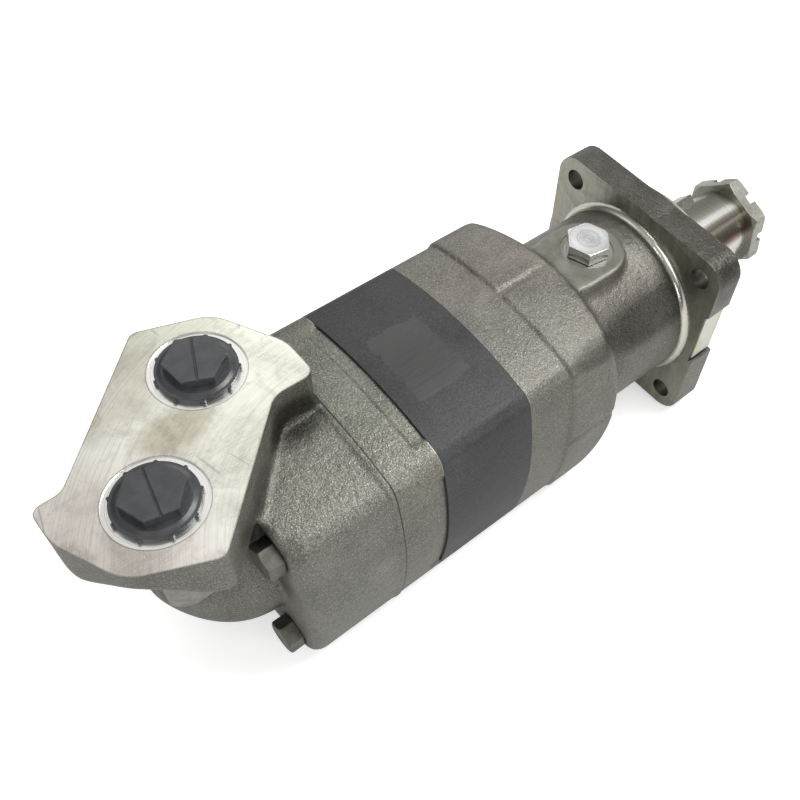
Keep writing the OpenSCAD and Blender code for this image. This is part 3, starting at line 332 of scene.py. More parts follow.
def turned(name, base, rough, centre, plane="xy", pitch=1500.0, wobble=0.12, bevel=0.0):
    """A turned face with fine rings about a centre in a plane."""
    s = Shader(name)
    x, y, z = s.split()
    a, b = {"xy": (x, y), "yz": (y, z)}[plane]
    rad = s.radius(a, b, centre[0], centre[1])
    rings = s.noise(pitch, 3.0, 0.6, s.join(rad, 0.0, 0.0))
    coarse = s.noise(pitch * 0.18, 2.0, 0.6, s.join(rad, 0.0, 0.0))
    stain = s.noise(70.0, 3.0, 0.6)
    col = s.mix(s.span(rings, 0.3, 0.7), times(base, 1 - wobble), times(base, 1 + wobble))
    col = s.mix(s.mul(s.span(stain, 0.5, 0.7), 0.25), col, times(base, 0.75))
    r = s.span(coarse, 0.3, 0.7, rough - 0.06, rough + 0.08)
    n = s.bump(s.add(rings, coarse), 0.00008, 0.6, s.bevel(bevel) if bevel else None)
    return s.finish(col, r, 1.0, n, Anisotropic=0.35)


def plain_metal(name, base, rough, metal=1.0, grain=300.0, depth=0.00006, bevel=0.0005):
    """Plain steel or bronze: slightly grained, with duller spots."""
    s = Shader(name)
    g = s.noise(grain, 3.0, 0.6)
    slow = s.noise(45.0, 3.0, 0.6)
    col = s.mix(s.span(g, 0.3, 0.7), times(base, 0.82), times(base, 1.12))
    col = s.mix(s.mul(s.span(slow, 0.52, 0.7), 0.2), col, times(base, 0.6))
    r = s.span(slow, 0.3, 0.7, rough - 0.05, rough + 0.08)
    n = s.bump(g, depth, 0.7, s.bevel(bevel) if bevel else None)
    return s.finish(col, r, metal, n)


# Painted reflection bands of the shaft: share of a turn from its +Y side, and colour there
SHAFT_REFLECTION_BANDS = (
    (0.00, (0.45, 0.43, 0.38)), (0.14, (0.30, 0.29, 0.24)), (0.24, (0.42, 0.41, 0.35)),
    (0.268, (0.52, 0.53, 0.44)), (0.285, (1.0, 1.0, 0.97)), (0.300, (1.0, 1.0, 0.97)),
    (0.318, (0.34, 0.31, 0.25)), (0.336, (0.22, 0.19, 0.15)), (0.350, (0.62, 0.61, 0.52)),
    (0.368, (0.30, 0.28, 0.20)), (0.395, (0.20, 0.165, 0.12)), (0.412, (0.16, 0.075, 0.055)),
    (0.428, (0.22, 0.17, 0.14)), (0.450, (0.62, 0.60, 0.53)), (0.62, (0.40, 0.38, 0.34)),
    (0.70, (0.75, 0.74, 0.68)), (0.74, (0.30, 0.27, 0.22)), (1.00, (0.45, 0.43, 0.38)))


def shaft_steel(name):
    """Ground taper: painted highlight and reflection bands along the shaft, fine rings round it."""
    s = Shader(name)
    x, y, z = s.split()
    ring = s.noise(2600.0, 3.0, 0.6, s.join(x, 0.0, 0.0))
    turn = s.math("DIVIDE", s.math("ARCTAN2", s.mul(y, -1.0), z), 2 * math.pi)
    wob = s.mul(s.sub(s.noise(90.0, 3.0, 0.6, s.stretch(0.3, 1.0, 1.0)), 0.5), 0.012)
    turn = s.math("FRACT", s.add(s.add(turn, 1.25), wob))
    # Painted reflection: bright and dark bands by the turn round the shaft.
    col = s.ramp(turn, SHAFT_REFLECTION_BANDS)
    col = s.mix(s.mul(s.span(ring, 0.3, 0.7), 0.15), col, (0.75, 0.73, 0.68))
    n = s.bump(ring, 0.00004, 0.5, s.bevel(0.0004))
    return s.finish(col, s.span(ring, 0.3, 0.7, 0.22, 0.32), 1.0, n)


# The rubbed patch on top of the roller ring
PATCH_X = (-0.2262, -0.1902)
PATCH_Y = (-0.0330, 0.0192)
PATCH_BLUR = 0.0012


def black_oxide(name):
    """The roller ring: dark oxide with a fine blasted grain and a rubbed patch on its top face."""
    s = Shader(name)
    x, y, z = s.split()
    fine = s.noise(900.0, 4.0, 0.7)
    slow = s.noise(28.0, 3.0, 0.55)
    base = s.ramp(s.add(s.mul(fine, 0.6), s.mul(slow, 0.4)), [
        (0.34, (0.027, 0.027, 0.027)), (0.54, (0.055, 0.055, 0.056)), (0.72, (0.100, 0.100, 0.101))])
    speck = s.span(s.noise(1300.0, 2.0, 0.6), 0.60, 0.74)
    base = s.mix(s.mul(speck, 0.22), base, (0.20, 0.20, 0.20))
    wob = s.mul(s.sub(s.noise(120.0, 3.0, 0.6), 0.5), 0.012)
    px = s.add(x, wob)
    py = s.add(y, wob)
    inside = s.mul(s.band(px, *PATCH_X, PATCH_BLUR), s.band(py, *PATCH_Y, PATCH_BLUR))
    patch = s.mul(inside, s.span(z, 0.060, 0.064))
    streak = s.noise(150.0, 4.0, 0.7, s.stretch(0.18, 5.5, 1.0, 0.12))
    rub = s.mul(patch, s.span(streak, 0.50, 0.60))
    rub = s.mul(rub, s.span(py, 0.012, -0.012))
    base = s.mix(s.mul(patch, 0.75), base, (0.066, 0.066, 0.065))
    base = s.mix(s.mul(rub, 0.45), base, (0.040, 0.041, 0.041))
    side = s.span(z, 0.050, 0.030)
    smear = s.mul(s.span(s.noise(55.0, 5.0, 0.7, s.stretch(1.0, 1.0, 0.35)), 0.60, 0.70),
                  s.mul(s.span(x, -0.200, -0.180), side))
    base = s.mix(s.mul(smear, 0.30), base, (0.24, 0.24, 0.22))
    r = s.mixf(patch, s.span(slow, 0.3, 0.7, 0.46, 0.56), 0.44)
    h = s.mul(fine, s.sub(1.0, s.mul(patch, 0.8)))
    n1 = s.bump(h, 0.0002, 0.8, s.bevel(0.0008))
    n2 = s.bump(s.noise(160.0, 3.0, 0.6), 0.0003, 0.5, n1)
    return s.finish(base, r, 0.62, n2)


def moulded(name, base, rough=0.38):
    """Moulded plastic with a little dust."""
    s = Shader(name)
    slow = s.noise(120.0, 3.0, 0.6)
    fine = s.noise(1400.0, 2.0, 0.6)
    dust = s.span(s.noise(500.0, 5.0, 0.7), 0.66, 0.80)
    col = s.mix(s.span(slow, 0.35, 0.7), base, times(base, 1.5))
    col = s.mix(s.mul(dust, 0.35), col, (0.20, 0.20, 0.20))
    n = s.bump(fine, 0.00005, 0.5, s.bevel(0.0006))
    return s.finish(col, s.span(slow, 0.3, 0.7, rough - 0.05, rough + 0.1), 0.0, n, Specular_IOR_Level=0.55)


def rubber(name):
    """Dark seal rubber."""
    s = Shader(name)
    g = s.noise(700.0, 2.0, 0.6)
    col = s.mix(s.span(g, 0.3, 0.7), (0.012, 0.012, 0.012), (0.028, 0.028, 0.028))
    return s.finish(col, 0.62, 0.0, s.bump(g, 0.00005, 0.5, s.bevel(0.0003)))


def foil(name):
    """The blank plate: brushed pale foil, a little yellowed and scuffed."""
    s = Shader(name)
    z = s.split()[2]
    g = s.noise(240.0, 3.0, 0.6, s.stretch(0.15, 1.0, 4.0))
    slow = s.noise(60.0, 4.0, 0.62)
    col = s.mix(s.span(slow, 0.38, 0.64), (0.50, 0.49, 0.35), (0.56, 0.56, 0.50))
    col = s.mix(s.mul(s.span(g, 0.5, 0.7), 0.25), col, (0.55, 0.56, 0.50))
    rim = s.span(s.math("ABSOLUTE", s.sub(z, FLAT_Z)), 0.0178, 0.0188)
    col = s.mix(rim, col, (0.45, 0.50, 0.60))
    return s.finish(col, 0.36, 0.55, s.bump(g, 0.00004, 0.5))


# Mesh work on castings

def evaluated(ob):
    """Applies the modifiers of ob."""
    deps = bpy.context.evaluated_depsgraph_get()
    me = bpy.data.meshes.new_from_object(ob.evaluated_get(deps))
    ob.modifiers.clear()
    old = ob.data
    ob.data = me
    if old.users == 0:
        bpy.data.meshes.remove(old)


def coords(me):
    co = np.empty(len(me.vertices) * 3, np.float64)
    me.vertices.foreach_get("co", co)
    return co.reshape(-1, 3)


def set_coords(me, co):
    me.vertices.foreach_set("co", co.astype(np.float32).ravel())
    me.update()


def relax(co, edges, weight, rounds):
    """Laplacian smoothing of points along mesh edges, point by point weighted."""
    n = len(co)
    a, b = edges[:, 0], edges[:, 1]
    count = np.bincount(a, minlength=n) + np.bincount(b, minlength=n)
    count = np.maximum(count, 1)
    w = (0.5 * weight)[:, None]
    for _ in range(rounds):
        mean = np.stack([np.bincount(a, co[b, k], n) + np.bincount(b, co[a, k], n) for k in range(3)], 1)
        co = co + w * (mean / count[:, None] - co)
    return co


def ramp01(v, a, b):
    """0 where v is at a, 1 where it is at b, with a soft change between."""
    t = np.clip((v - a) / (b - a), 0.0, 1.0)
    return t * t * (3 - 2 * t)


def block(low, high):
    """A box between two corners."""
    v = [(x, y, z) for x in (low[0], high[0]) for y in (low[1], high[1]) for z in (low[2], high[2])]
    f = [(0, 1, 3, 2), (4, 6, 7, 5), (0, 4, 5, 1), (2, 3, 7, 6), (0, 2, 6, 4), (1, 5, 7, 3)]
    me = bpy.data.meshes.new("tool")
    me.from_pydata(v, [], f)
    return me


def slab(x0, x1):
    """A block across the whole motor between two places on its axis."""
    return block((x0, -REACH, -REACH), (x1, REACH, REACH))


def drum(x, y, z0, z1, r, n=160):
    """An upright cylinder."""
    ring = [(x + r * math.cos(2 * math.pi * i / n), y + r * math.sin(2 * math.pi * i / n)) for i in range(n)]
    v = [(p[0], p[1], z0) for p in ring] + [(p[0], p[1], z1) for p in ring]
    f = [(i, (i + 1) % n, n + (i + 1) % n, n + i) for i in range(n)]
    f += [tuple(range(n - 1, -1, -1)), tuple(range(n, 2 * n))]
    me = bpy.data.meshes.new("tool")
    me.from_pydata(v, [], f)
    return me


def cut_off(ob, tools):
    """Takes the shapes of the tools away from ob, as machining does from a raw casting."""
    for me in tools:
        tool = bpy.data.objects.new("tool", me)
        SCENE.collection.objects.link(tool)
        m = ob.modifiers.new("cut", "BOOLEAN")
        m.operation = "DIFFERENCE"
        m.solver = "MANIFOLD"
        m.object = tool
        evaluated(ob)
        bpy.data.objects.remove(tool)
        bpy.data.meshes.remove(me)


def welded(src, name):
    """A copy of a solid's mesh whose faces share their edges."""
    ob = bpy.data.objects.new(name, src.data.copy())
    SCENE.collection.objects.link(ob)
    bm = bmesh.new()
    bm.from_mesh(ob.data)
    bmesh.ops.remove_doubles(bm, verts=bm.verts, dist=2e-6)
    bm.to_mesh(ob.data)
    bm.free()
    return ob


def body_depth(co):
    """Depth of points inside the body's outline, and the outline's outward direction there."""
    k, s = ARC - BODY, ARC - EDGE
    c = (math.sqrt(2 * s * s - k * k) - k) / 2
    y, z = np.abs(co[:, 1]), np.abs(co[:, 2])
    flip = z > y
    u, w = np.where(flip, z, y), np.where(flip, y, z)
    corner = w * (c + k) > (u + k) * c
    du, dw = np.where(corner, u - c, u + k), np.where(corner, w - c, w)
    dist = np.maximum(np.hypot(du, dw), 1e-9)
    depth = np.where(corner, EDGE, ARC) - dist
    du, dw = du / dist, dw / dist
    ny, nz = np.where(flip, dw, du) * np.sign(co[:, 1]), np.where(flip, du, dw) * np.sign(co[:, 2])
    return depth, ny, nz


def drawn_out(ob, raised):
    """Moves the points of faces given as (axis, place, new place)."""
    co = coords(ob.data)
    was = co.copy()
    for axis, place, new in raised:
        co[np.abs(was[:, axis] - place) < 2e-5, axis] = new
    set_coords(ob.data, co)


def voxel_skin(ob, size):
    m = ob.modifiers.new("skin", "REMESH")
    m.mode = "VOXEL"
    m.voxel_size = size
    m.adaptivity = 0.0
    evaluated(ob)


def soften(ob, size, free, passes, shape):
    """Relaxes the free points of a skin in passes of (weight(co), rounds)."""
    me = ob.data
    co = coords(me)
    edges = np.empty(len(me.edges) * 2, np.int32)
    me.edges.foreach_get("vertices", edges)
    edges = edges.reshape(-1, 2)
    co = relax(co, edges, 0.6 * np.ones(len(co)), 2)
    if shape is not None:
        co = shape(co)
    scale = (GRID / size) ** 2
    for weight, rounds in passes:
        co = relax(co, edges, free * weight(co), max(1, int(rounds * scale)))
    set_coords(me, co)


def seat(ob, src, held):
    """Puts the held points of a skin back on the solid."""
    group = ob.vertex_groups.new(name="held")
    group.add([int(i) for i in np.nonzero(held > 0.5)[0]], 1.0, "REPLACE")
    w = ob.modifiers.new("seat", "SHRINKWRAP")
    w.target = src
    w.wrap_method = "NEAREST_SURFACEPOINT"
    w.vertex_group = "held"
    evaluated(ob)
    ob.vertex_groups.clear()


def add_front(ob, src, x):
    """Adds what the solid has in front of x to ob."""
    part = welded(src, "part")
    cut_off(part, [block((-1, -1, -1), (x, 1, 1))])
    bm = bmesh.new()
    bm.from_mesh(ob.data)
    bm.from_mesh(part.data)
    bm.to_mesh(ob.data)
    bm.free()
    bpy.data.objects.remove(part)


def shade(ob):
    """Smooth skin, sharp edges, and flat shading on plane faces."""
    own = ob.data.attributes.get("custom_normal")
    if own is not None:
        ob.data.attributes.remove(own)
    ob.data.shade_smooth()
    ob.data.set_sharp_from_angle(angle=SHARP)
    bm = bmesh.new()
    bm.from_mesh(ob.data)
    wide = [f for f in bm.faces if len(f.verts) > 4]
    for f in bm.faces:
        square = max(abs(v) for v in f.normal) > 0.9998
        plane = square and max(e.calc_length() for e in f.edges) > LONG_EDGE
        f.smooth = len(f.verts) <= 4 and not plane
    bmesh.ops.triangulate(bm, faces=wide, ngon_method="BEAUTY")
    bm.to_mesh(ob.data)
    bm.free()


def casting(node, name, voxel, hold, passes, raised, tools, shape=None, solid_from=None):
    """A rounded skin for a cast node. hold(co) is 1 where the skin stays on the solid. Raised faces are drawn
    out before the skin is made, so that it rounds off outside them. Tools then cut it back to them."""
    src = NODES[node]
    ob = welded(src, name)
    drawn_out(ob, raised)
    size = voxel * 1.0
    voxel_skin(ob, size)
    held = hold(coords(ob.data))
    soften(ob, size, 1.0 - held, passes, shape)
    seat(ob, src, held)
    if solid_from is not None:
        cut_off(ob, [block((solid_from, -1, -1), (1, 1, 1))])
    cut_off(ob, tools)
    if solid_from is not None:
        add_front(ob, src, solid_from)
    shade(ob)
    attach(ob, "housing")
    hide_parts(node)
    return ob


def everywhere(co):
    return np.ones(len(co))


def bolt_holes(co, margin):
    """Where points lie in the bolt holes or within a margin round them."""
    return np.hypot(np.abs(co[:, 1]) - BOLT, np.abs(co[:, 2]) - BOLT) < BOLT_R + margin


def paint(ob, materials, choose):
    """Gives each face one of the materials. choose(centre, normal) returns the indices of all faces."""
    me = ob.data
    me.materials.clear()
    for m in materials:
        me.materials.append(m)
    n = len(me.polygons)
    c = np.empty(n * 3, np.float32)
    me.polygons.foreach_get("center", c)
    v = np.empty(n * 3, np.float32)
    me.polygons.foreach_get("normal", v)
    index = choose(c.reshape(-1, 3), v.reshape(-1, 3)).astype(np.int32)
    me.polygons.foreach_set("material_index", index)
    me.update()


def near(co, x, y, axes=(0, 1)):
    """Distance of points from a place, seen along the third axis."""
    return np.hypot(co[:, axes[0]] - x, co[:, axes[1]] - y)


# Materials

# The bearing housing's zones are painted shade: on the neck and shoulder, on the flange's top and on its -Y
# side.
CAST = cast_iron(
    "cast_grey", (0.075, 0.072, 0.064), (0.155, 0.150, 0.134), (0.30, 0.29, 0.262), 0.45, zones=(
        ((-0.050, -0.049, 0.035), (0.075, 0.024, 0.020), 0.40),
        ((-0.118, -0.062, 0.062), (0.032, 0.012, 0.010), 0.55),
        ((-0.010, 0.000, 0.086), (0.050, 0.160, 0.040), 0.58),
        ((-0.010, -0.074, 0.058), (0.015, 0.014, 0.024), 0.55)))
# The valve housing's zones are painted shade: at the foot of the pad's wall, below the pad and on the dome
# behind it.
CAST_REAR = cast_iron(
    "cast_grey_rear", (0.082, 0.081, 0.072), (0.172, 0.169, 0.150), (0.33, 0.325, 0.295), 0.44, 1.1,
    edge=0.15, seam=X_JOINT, zones=(
        ((-0.290, -0.004, 0.079), (0.034, 0.018, 0.015), 0.40),
        ((-0.330, -0.030, 0.080), (0.040, 0.030, 0.012), 0.70),
        ((-0.378, -0.015, 0.046), (0.024, 0.034, 0.034), 0.62)))
CAST_PLATE = cast_iron(
    "cast_grey_plate", (0.078, 0.077, 0.066), (0.165, 0.163, 0.139), (0.33, 0.325, 0.285), 0.44, 1.15)
FACE = milled("machined_face", (0.34, 0.33, 0.29), (0.50, 0.485, 0.44), 0.36)
BOSS = milled("machined_boss", (0.17, 0.165, 0.148), (0.25, 0.24, 0.215), 0.42)
PADTOP = milled("milled_pad", (0.66, 0.65, 0.60), (0.92, 0.91, 0.86), 0.28, 0.62, outline=0.9, zones=(
    ((-0.343, 0.010, PAD_Z), (0.024, 0.014, 0.01), (0.62, 0.57, 0.51), 0.8),
    ((-0.358, 0.052, PAD_Z), (0.045, 0.030, 0.01), (0.78, 0.75, 0.73), 0.9),
    ((-0.310, 0.064, PAD_Z), (0.050, 0.020, 0.01), (0.80, 0.80, 0.77), 0.9),
    ((-0.392, -0.020, PAD_Z), (0.024, 0.045, 0.01), (0.84, 0.80, 0.78), 0.8)))
SPOTS = [turned("spot_face_%d" % n, (0.80, 0.79, 0.76), 0.28, place, "xy", 1300.0)
         for n, place in enumerate(PORTS, 1)]
DRAIN_SPOT = turned("drain_spot_face", (0.27, 0.26, 0.235), 0.36, (DRAIN_X, 0.0), "xy", 1300.0)
FLAT = milled("milled_flat", (0.10, 0.11, 0.075), (0.17, 0.175, 0.12), 0.4)
FILLET = turned("turned_fillet", (0.62, 0.60, 0.54), 0.2, (0.0, 0.0), "yz", 2200.0)
HOLE_SKIN = plain_metal("drilled_hole", (0.30, 0.29, 0.26), 0.35, bevel=0.0)
RING = black_oxide("ring_oxide")
SHAFT = shaft_steel("ground_shaft")
NUT = plain_metal("nut_steel", (0.34, 0.335, 0.295), 0.34, grain=420.0, depth=0.00005, bevel=0.0007)
KEY = plain_metal("key_steel", (0.40, 0.38, 0.34), 0.30)
BOLTS = plain_metal("bolt_phosphate", (0.155, 0.152, 0.130), 0.38, 0.85, bevel=0.0006)
ZINC = turned("zinc_plug", (0.80, 0.81, 0.81), 0.24, (DRAIN_X, 0.0), "xy", 900.0, wobble=0.10, bevel=0.0007)
PLUG = moulded("plug_plastic", (0.035, 0.037, 0.040), 0.28)
RUBBER = rubber("seal_rubber")
PLATE = foil("blank_plate")
GROUND = plain_metal("ground_steel", (0.60, 0.59, 0.56), 0.24)
DARK = plain_metal("phosphated_steel", (0.13, 0.128, 0.122), 0.38, 0.9)
BRONZE = plain_metal("lapped_bronze", (0.50, 0.34, 0.15), 0.28)


# Bearing housing

def hold_front(co):
    bore = near(co, 0, 0, (1, 2)) < FRONT_SEAT
    drain = (near(co, DRAIN_X, 0) < DRAIN_SEAT) & (co[:, 2] > 0.03)
    bolts = bolt_holes(co, BOLT_SEAT) & (co[:, 0] < -0.12)
    flange = co[:, 0] > X_NECK - 0.0015
    return np.where(bore | drain | bolts | flange, 1.0, 0.0)


def front_fillets(co):
    """The foot of the drain boss, and the shoulder between body and neck."""
    boss = ramp01(co[:, 2], 0.0652, 0.0635) * ramp01(near(co, DRAIN_X, 0), 0.036, 0.030)
    shoulder = ramp01(co[:, 0], -0.117, -0.112) * ramp01(co[:, 0], -0.086, -0.092) * 0.7
    return np.maximum(boss, shoulder)


front = casting("bearing_housing", "front_casting", VOXEL, hold_front,
                [(everywhere, 9), (front_fillets, 34)],
                raised=[(0, X_RING, X_RING - DRAWN), (2, DRAIN_Z - SPOT_DEPTH, DRAIN_Z)],
                tools=[slab(X_RING - ROOM, X_RING),
                       drum(DRAIN_X, 0.0, DRAIN_Z - SPOT_DEPTH, DRAIN_Z + 0.01, DRAIN_R)],
                solid_from=X_NECK)

FRONT_SKINS = [CAST, FACE, FILLET, HOLE_SKIN, BOSS, DRAIN_SPOT, FLAT]


def front_faces(c, v):
    x, y, z = c.T
    r = near(c, 0, 0, (1, 2))
    k = np.zeros(len(c), int)
    k[(v[:, 0] < -0.92) & (x > X_FLANGE - 0.0012) & (r > FLANGE_FACE_R)] = 1
    k[(x > -0.0009) | (x < X_RING + 0.0003)] = 1
    k[(r < FILLET_R[1]) & (r > FILLET_R[0]) & (x > X_NECK) & (x < X_FLANGE - 0.00002)] = 2
    hole = np.hypot(np.abs(y) - HOLE, np.abs(z) - HOLE) < HOLE_R
    k[hole & (x > -0.03)] = 3
    k[(r < BORE_R) & (x < 0.02) & (np.abs(v[:, 0]) < 0.5)] = 3
    spot = near(c, DRAIN_X, 0)
    boss = (v[:, 2] > 0.93) & (z > DRAIN_Z - 0.0005) & (z < DRAIN_Z + 0.0006) & (x > -0.1)
    k[boss & (spot > DRAIN_R)] = 4
    k[(spot <= DRAIN_R + 0.0001) & (z > 0.03)] = 5
    side = (y > FLAT_Y[0]) & (y < FLAT_Y[1]) & (x > X_FLANGE) & (v[:, 1] < -0.5)
    k[side & (np.abs(z - FLAT_Z) < FLAT_HALF)] = 6
    return k


paint(front, FRONT_SKINS, front_faces)


# Valve housing with the port pad

def hold_rear(co):
    x, y, z = co.T
    r = near(co, 0, 0, (1, 2))
    held = ((r < REAR_SEAT) & (x > -0.327)) | ((r < HUB_SEAT) & (x > -0.335))
    held |= bolt_holes(co, BOLT_SEAT) & (x > -0.3322)
    for port in PORTS:
        held |= (near(co, *port) < PORT_SEAT) & (z > 0.01) & (z < PAD_Z - 0.003)
    neck = (np.abs(y) < 0.029) & (x < -0.31)
    held |= neck & (z > 0.022) & (z < 0.062) & (x > -0.3800)
    held |= neck & (z > -0.01) & (z < 0.030) & (x > -0.3740)
    return np.where(held, 1.0, 0.0)


def rear_shape(co):
    """Rounds the edge round the rear face."""
    depth, ny, nz = body_depth(co)
    back = co[:, 0] - X_REAR
    r = REAR_ROUND
    u, w = r - np.maximum(depth, -0.0005), r - back
    far = np.maximum(np.hypot(u, w), 1e-9)
    over = (u > 0) & (w > 0) & (far > r) & (back > -0.0006) & (depth < r)
    over &= (co[:, 2] < 0.058) | (co[:, 1] < -0.054)
    pull = np.where(over, 1 - r / far, 0.0)
    out = co.copy()
    out[:, 0] += pull * w
    out[:, 1] -= pull * u * ny
    out[:, 2] -= pull * u * nz
    return out


def pad_fillets(co):
    """The foot of the pad's walls, and where pad and neck meet the rear face."""
    x, z = co[:, 0], co[:, 2]
    wall = ramp01(z, 0.090, 0.082) * ramp01(z, 0.040, 0.060) * ramp01(x, -0.2745, -0.2800)
    back = ramp01(x, -0.3280, -0.3315) * ramp01(z, 0.088, 0.080)
    return np.maximum(wall * 0.6, back * 0.7)


def dome_fillets(co):
    """Where the pad's neck runs into the dome."""
    x, z = co[:, 0], co[:, 2]
    return ramp01(x, -0.334, -0.340) * ramp01(z, 0.052, 0.040) * ramp01(z, -0.010, 0.004)


rear = casting("valve_housing", "rear_casting", VOXEL, hold_rear,
               [(everywhere, 8), (pad_fillets, 30), (dome_fillets, 70)],
               raised=[(2, PAD_Z, PAD_Z + DRAWN), (2, PAD_Z - SPOT_DEPTH, PAD_Z + DRAWN),
                       (0, X_JOINT, X_JOINT + DRAWN)],
               tools=[block((-0.5, -REACH, PAD_Z), (-0.2, REACH, REACH)), slab(X_JOINT, X_JOINT + ROOM)]
               + [drum(x, y, PAD_Z - SPOT_DEPTH, PAD_Z + 0.01, SPOT_R) for x, y in PORTS],
               shape=rear_shape)

REAR_SKINS = [CAST_REAR, PADTOP] + SPOTS + [HOLE_SKIN, FACE]


def rear_faces(c, v):
    x, z = c[:, 0], c[:, 2]
    k = np.zeros(len(c), int)
    k[(v[:, 2] > 0.9) & (z > PAD_Z - 0.0004)] = 1
    for n, port in enumerate(PORTS):
        d = near(c, *port)
        k[(d < SPOT_R + 0.0003) & (z > PAD_Z - 0.0011) & (z < PAD_Z - 0.0001)] = 2 + n
        k[(d <= PORT_R) & (z < PAD_Z - 0.0009) & (z > 0.02)] = 4
    k[(near(c, 0, 0, (1, 2)) < REAR_SEAT) & (x > -0.326)] = 4
    k[x > X_JOINT - 0.0001] = 5
    k[bolt_holes(c, 0.0004)] = 4
    return k


paint(rear, REAR_SKINS, rear_faces)


# Valve plate

def hold_plate(co):
    return np.where((near(co, 0, 0, (1, 2)) < PLATE_SEAT) | bolt_holes(co, BOLT_SEAT), 1.0, 0.0)


plate = casting("valve_plate", "plate_casting", 0.0007, hold_plate, [(everywhere, 12)],
                raised=[(0, X_PLATE, X_PLATE + DRAWN), (0, X_JOINT, X_JOINT - DRAWN)],
                tools=[slab(X_PLATE, X_PLATE + ROOM), slab(X_JOINT - ROOM, X_JOINT)])


def plate_faces(c, v):
    return np.where((c[:, 0] > X_PLATE - 0.0003) | (c[:, 0] < X_JOINT + 0.0003), 1, 0)


paint(plate, [CAST_PLATE, FACE], plate_faces)


# Carried-over pieces

SKINS = {
    "roller_ring": RING, "output_shaft": SHAFT, "shaft_nut": NUT, "shaft_key": KEY,
    "housing_bolts": BOLTS, "drain_plug": ZINC, "port_plug_front": PLUG, "port_plug_rear": PLUG,
    "nameplate_blank": PLATE, "disc_valve": BRONZE,
    "dust_seal": RUBBER, "shaft_seal": RUBBER, "balance_inner_seal": RUBBER,
    "balance_outer_seal": RUBBER, "section_seals": RUBBER, "drain_plug_seal": RUBBER,
    "front_bearing_cage": DARK, "rear_bearing_cage": DARK, "bearing_lock_nut": DARK,
    "main_drive": DARK, "valve_drive": DARK, "star": DARK,
}
CASTINGS = ("bearing_housing", "valve_housing", "valve_plate")
for n, ob in NODES.items():
    if n in CASTINGS:
        continue
    mat = SKINS.get(n, GROUND)
    if len(ob.material_slots) == 0:
        ob.data.materials.append(mat)
    for slot in ob.material_slots:
        slot.link = "OBJECT"
        slot.material = mat


# Stage, light and camera

def stage_material(name, color, glow):
    """A matt surface that only the camera sees glow."""
    m = bpy.data.materials.new(name)
    m.use_nodes = True
    t = m.node_tree
    t.nodes.clear()
    out = t.nodes.new("ShaderNodeOutputMaterial")
    matt = t.nodes.new("ShaderNodeBsdfDiffuse")
    matt.inputs[0].default_value = color + (1,)
    light = t.nodes.new("ShaderNodeEmission")
    path = t.nodes.new("ShaderNodeLightPath")
    seen = t.nodes.new("ShaderNodeMath")
    seen.operation = "MULTIPLY"
    seen.inputs[1].default_value = glow
    both = t.nodes.new("ShaderNodeAddShader")
    t.links.new(path.outputs["Is Camera Ray"], seen.inputs[0])
    t.links.new(seen.outputs[0], light.inputs["Strength"])
    t.links.new(matt.outputs[0], both.inputs[0])
    t.links.new(light.outputs[0], both.inputs[1])
    t.links.new(both.outputs[0], out.inputs[0])
    return m


FLOOR_HALF = 6.0
floor_z = cad_low[2]
me = bpy.data.meshes.new("floor")
me.from_pydata([(x, y, floor_z) for x, y in ((-FLOOR_HALF, -FLOOR_HALF), (FLOOR_HALF, -FLOOR_HALF),
                                             (FLOOR_HALF, FLOOR_HALF), (-FLOOR_HALF, FLOOR_HALF))],
               [], [(0, 1, 2, 3)])
floor = bpy.data.objects.new("floor", me)
SCENE.collection.objects.link(floor)
floor.data.materials.append(stage_material("floor_white", (0.80, 0.80, 0.80), 0.50))


def area(name, where, aim, size, power, size_y=None):
    """A soft lamp that looks at a point."""
    data = bpy.data.lights.new(name, "AREA")
    data.shape = "RECTANGLE"
    data.size = size
    data.size_y = size_y or size
    data.energy = power
    ob = bpy.data.objects.new(name, data)
    SCENE.collection.objects.link(ob)
    ob.location = where
    ob.rotation_euler = (Vector(aim) - Vector(where)).to_track_quat("-Z", "Y").to_euler()


MID = (-0.16, 0.0, 0.0)
area("key_overhead", (0.45, -0.30, 1.25), MID, 0.75, 13.0, size_y=0.55)
area("glow_back", (0.20, 0.80, 1.15), MID, 0.90, 1.6)
area("side_right", (0.15, -1.10, 0.45), (-0.30, -0.05, 0.03), 0.35, 4.0)
area("fill_left", (-1.30, -0.55, 0.80), MID, 0.9, 5.0)
area("rim_back", (0.55, 1.15, 0.70), MID, 0.8, 4.0)

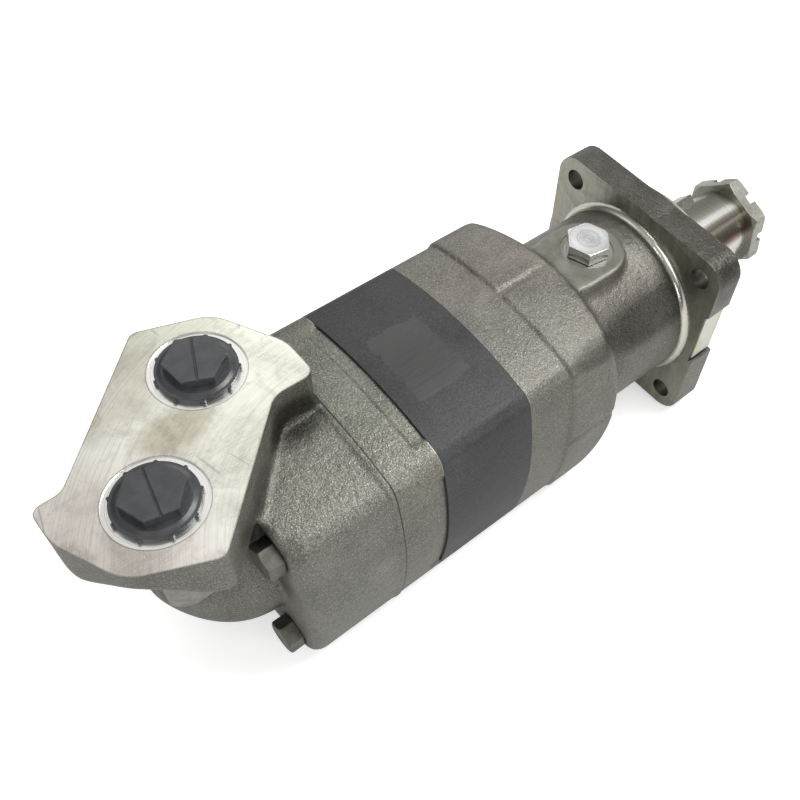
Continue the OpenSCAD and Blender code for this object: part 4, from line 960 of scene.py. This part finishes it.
# The world: white to the camera, a soft grey sky for the motor
SKY = ((0.0, (0.16, 0.16, 0.15, 1)), (0.35, (0.34, 0.34, 0.33, 1)), (0.85, (0.80, 0.80, 0.79, 1)))
world = bpy.data.worlds.new("studio")
SCENE.world = world
world.use_nodes = True
t = world.node_tree
t.nodes.clear()
out = t.nodes.new("ShaderNodeOutputWorld")
white = t.nodes.new("ShaderNodeBackground")
white.inputs[0].default_value = (1, 1, 1, 1)
white.inputs[1].default_value = 1.0
sky = t.nodes.new("ShaderNodeBackground")
sky.inputs[1].default_value = 0.75
direction = t.nodes.new("ShaderNodeTexCoord")
height = t.nodes.new("ShaderNodeSeparateXYZ")
ramp = t.nodes.new("ShaderNodeValToRGB")
ramp.color_ramp.elements.new(0.5)
for stop, (place, color) in zip(ramp.color_ramp.elements, SKY):
    stop.position = place
    stop.color = color
path = t.nodes.new("ShaderNodeLightPath")
either = t.nodes.new("ShaderNodeMixShader")
t.links.new(direction.outputs["Generated"], height.inputs[0])
t.links.new(height.outputs[2], ramp.inputs[0])
t.links.new(ramp.outputs[0], sky.inputs[0])
t.links.new(path.outputs["Is Camera Ray"], either.inputs[0])
t.links.new(sky.outputs[0], either.inputs[1])
t.links.new(white.outputs[0], either.inputs[2])
t.links.new(either.outputs[0], out.inputs[0])

SCENE.view_settings.view_transform = "Standard"

# The camera: place, direction and lens measured from the photo
cam_data = bpy.data.cameras.new("camera")
cam = bpy.data.objects.new("camera", cam_data)
SCENE.collection.objects.link(cam)
right = Vector((0.7427, -0.6636, 0.0896)).normalized()
ahead = Vector((0.4294, 0.3694, -0.8241)).normalized()
right = (right - ahead * right.dot(ahead)).normalized()
up = right.cross(ahead).normalized()
stand = Matrix((right, up, -ahead)).transposed().to_4x4()
stand.translation = Vector((-0.4162, -0.2654, 0.4847))
cam.matrix_world = stand
cam_data.sensor_width = 36.0
cam_data.lens = 42.49
cam_data.shift_x = -0.1438
cam_data.shift_y = 0.0447
cam_data.clip_start = 0.01
SCENE.camera = cam
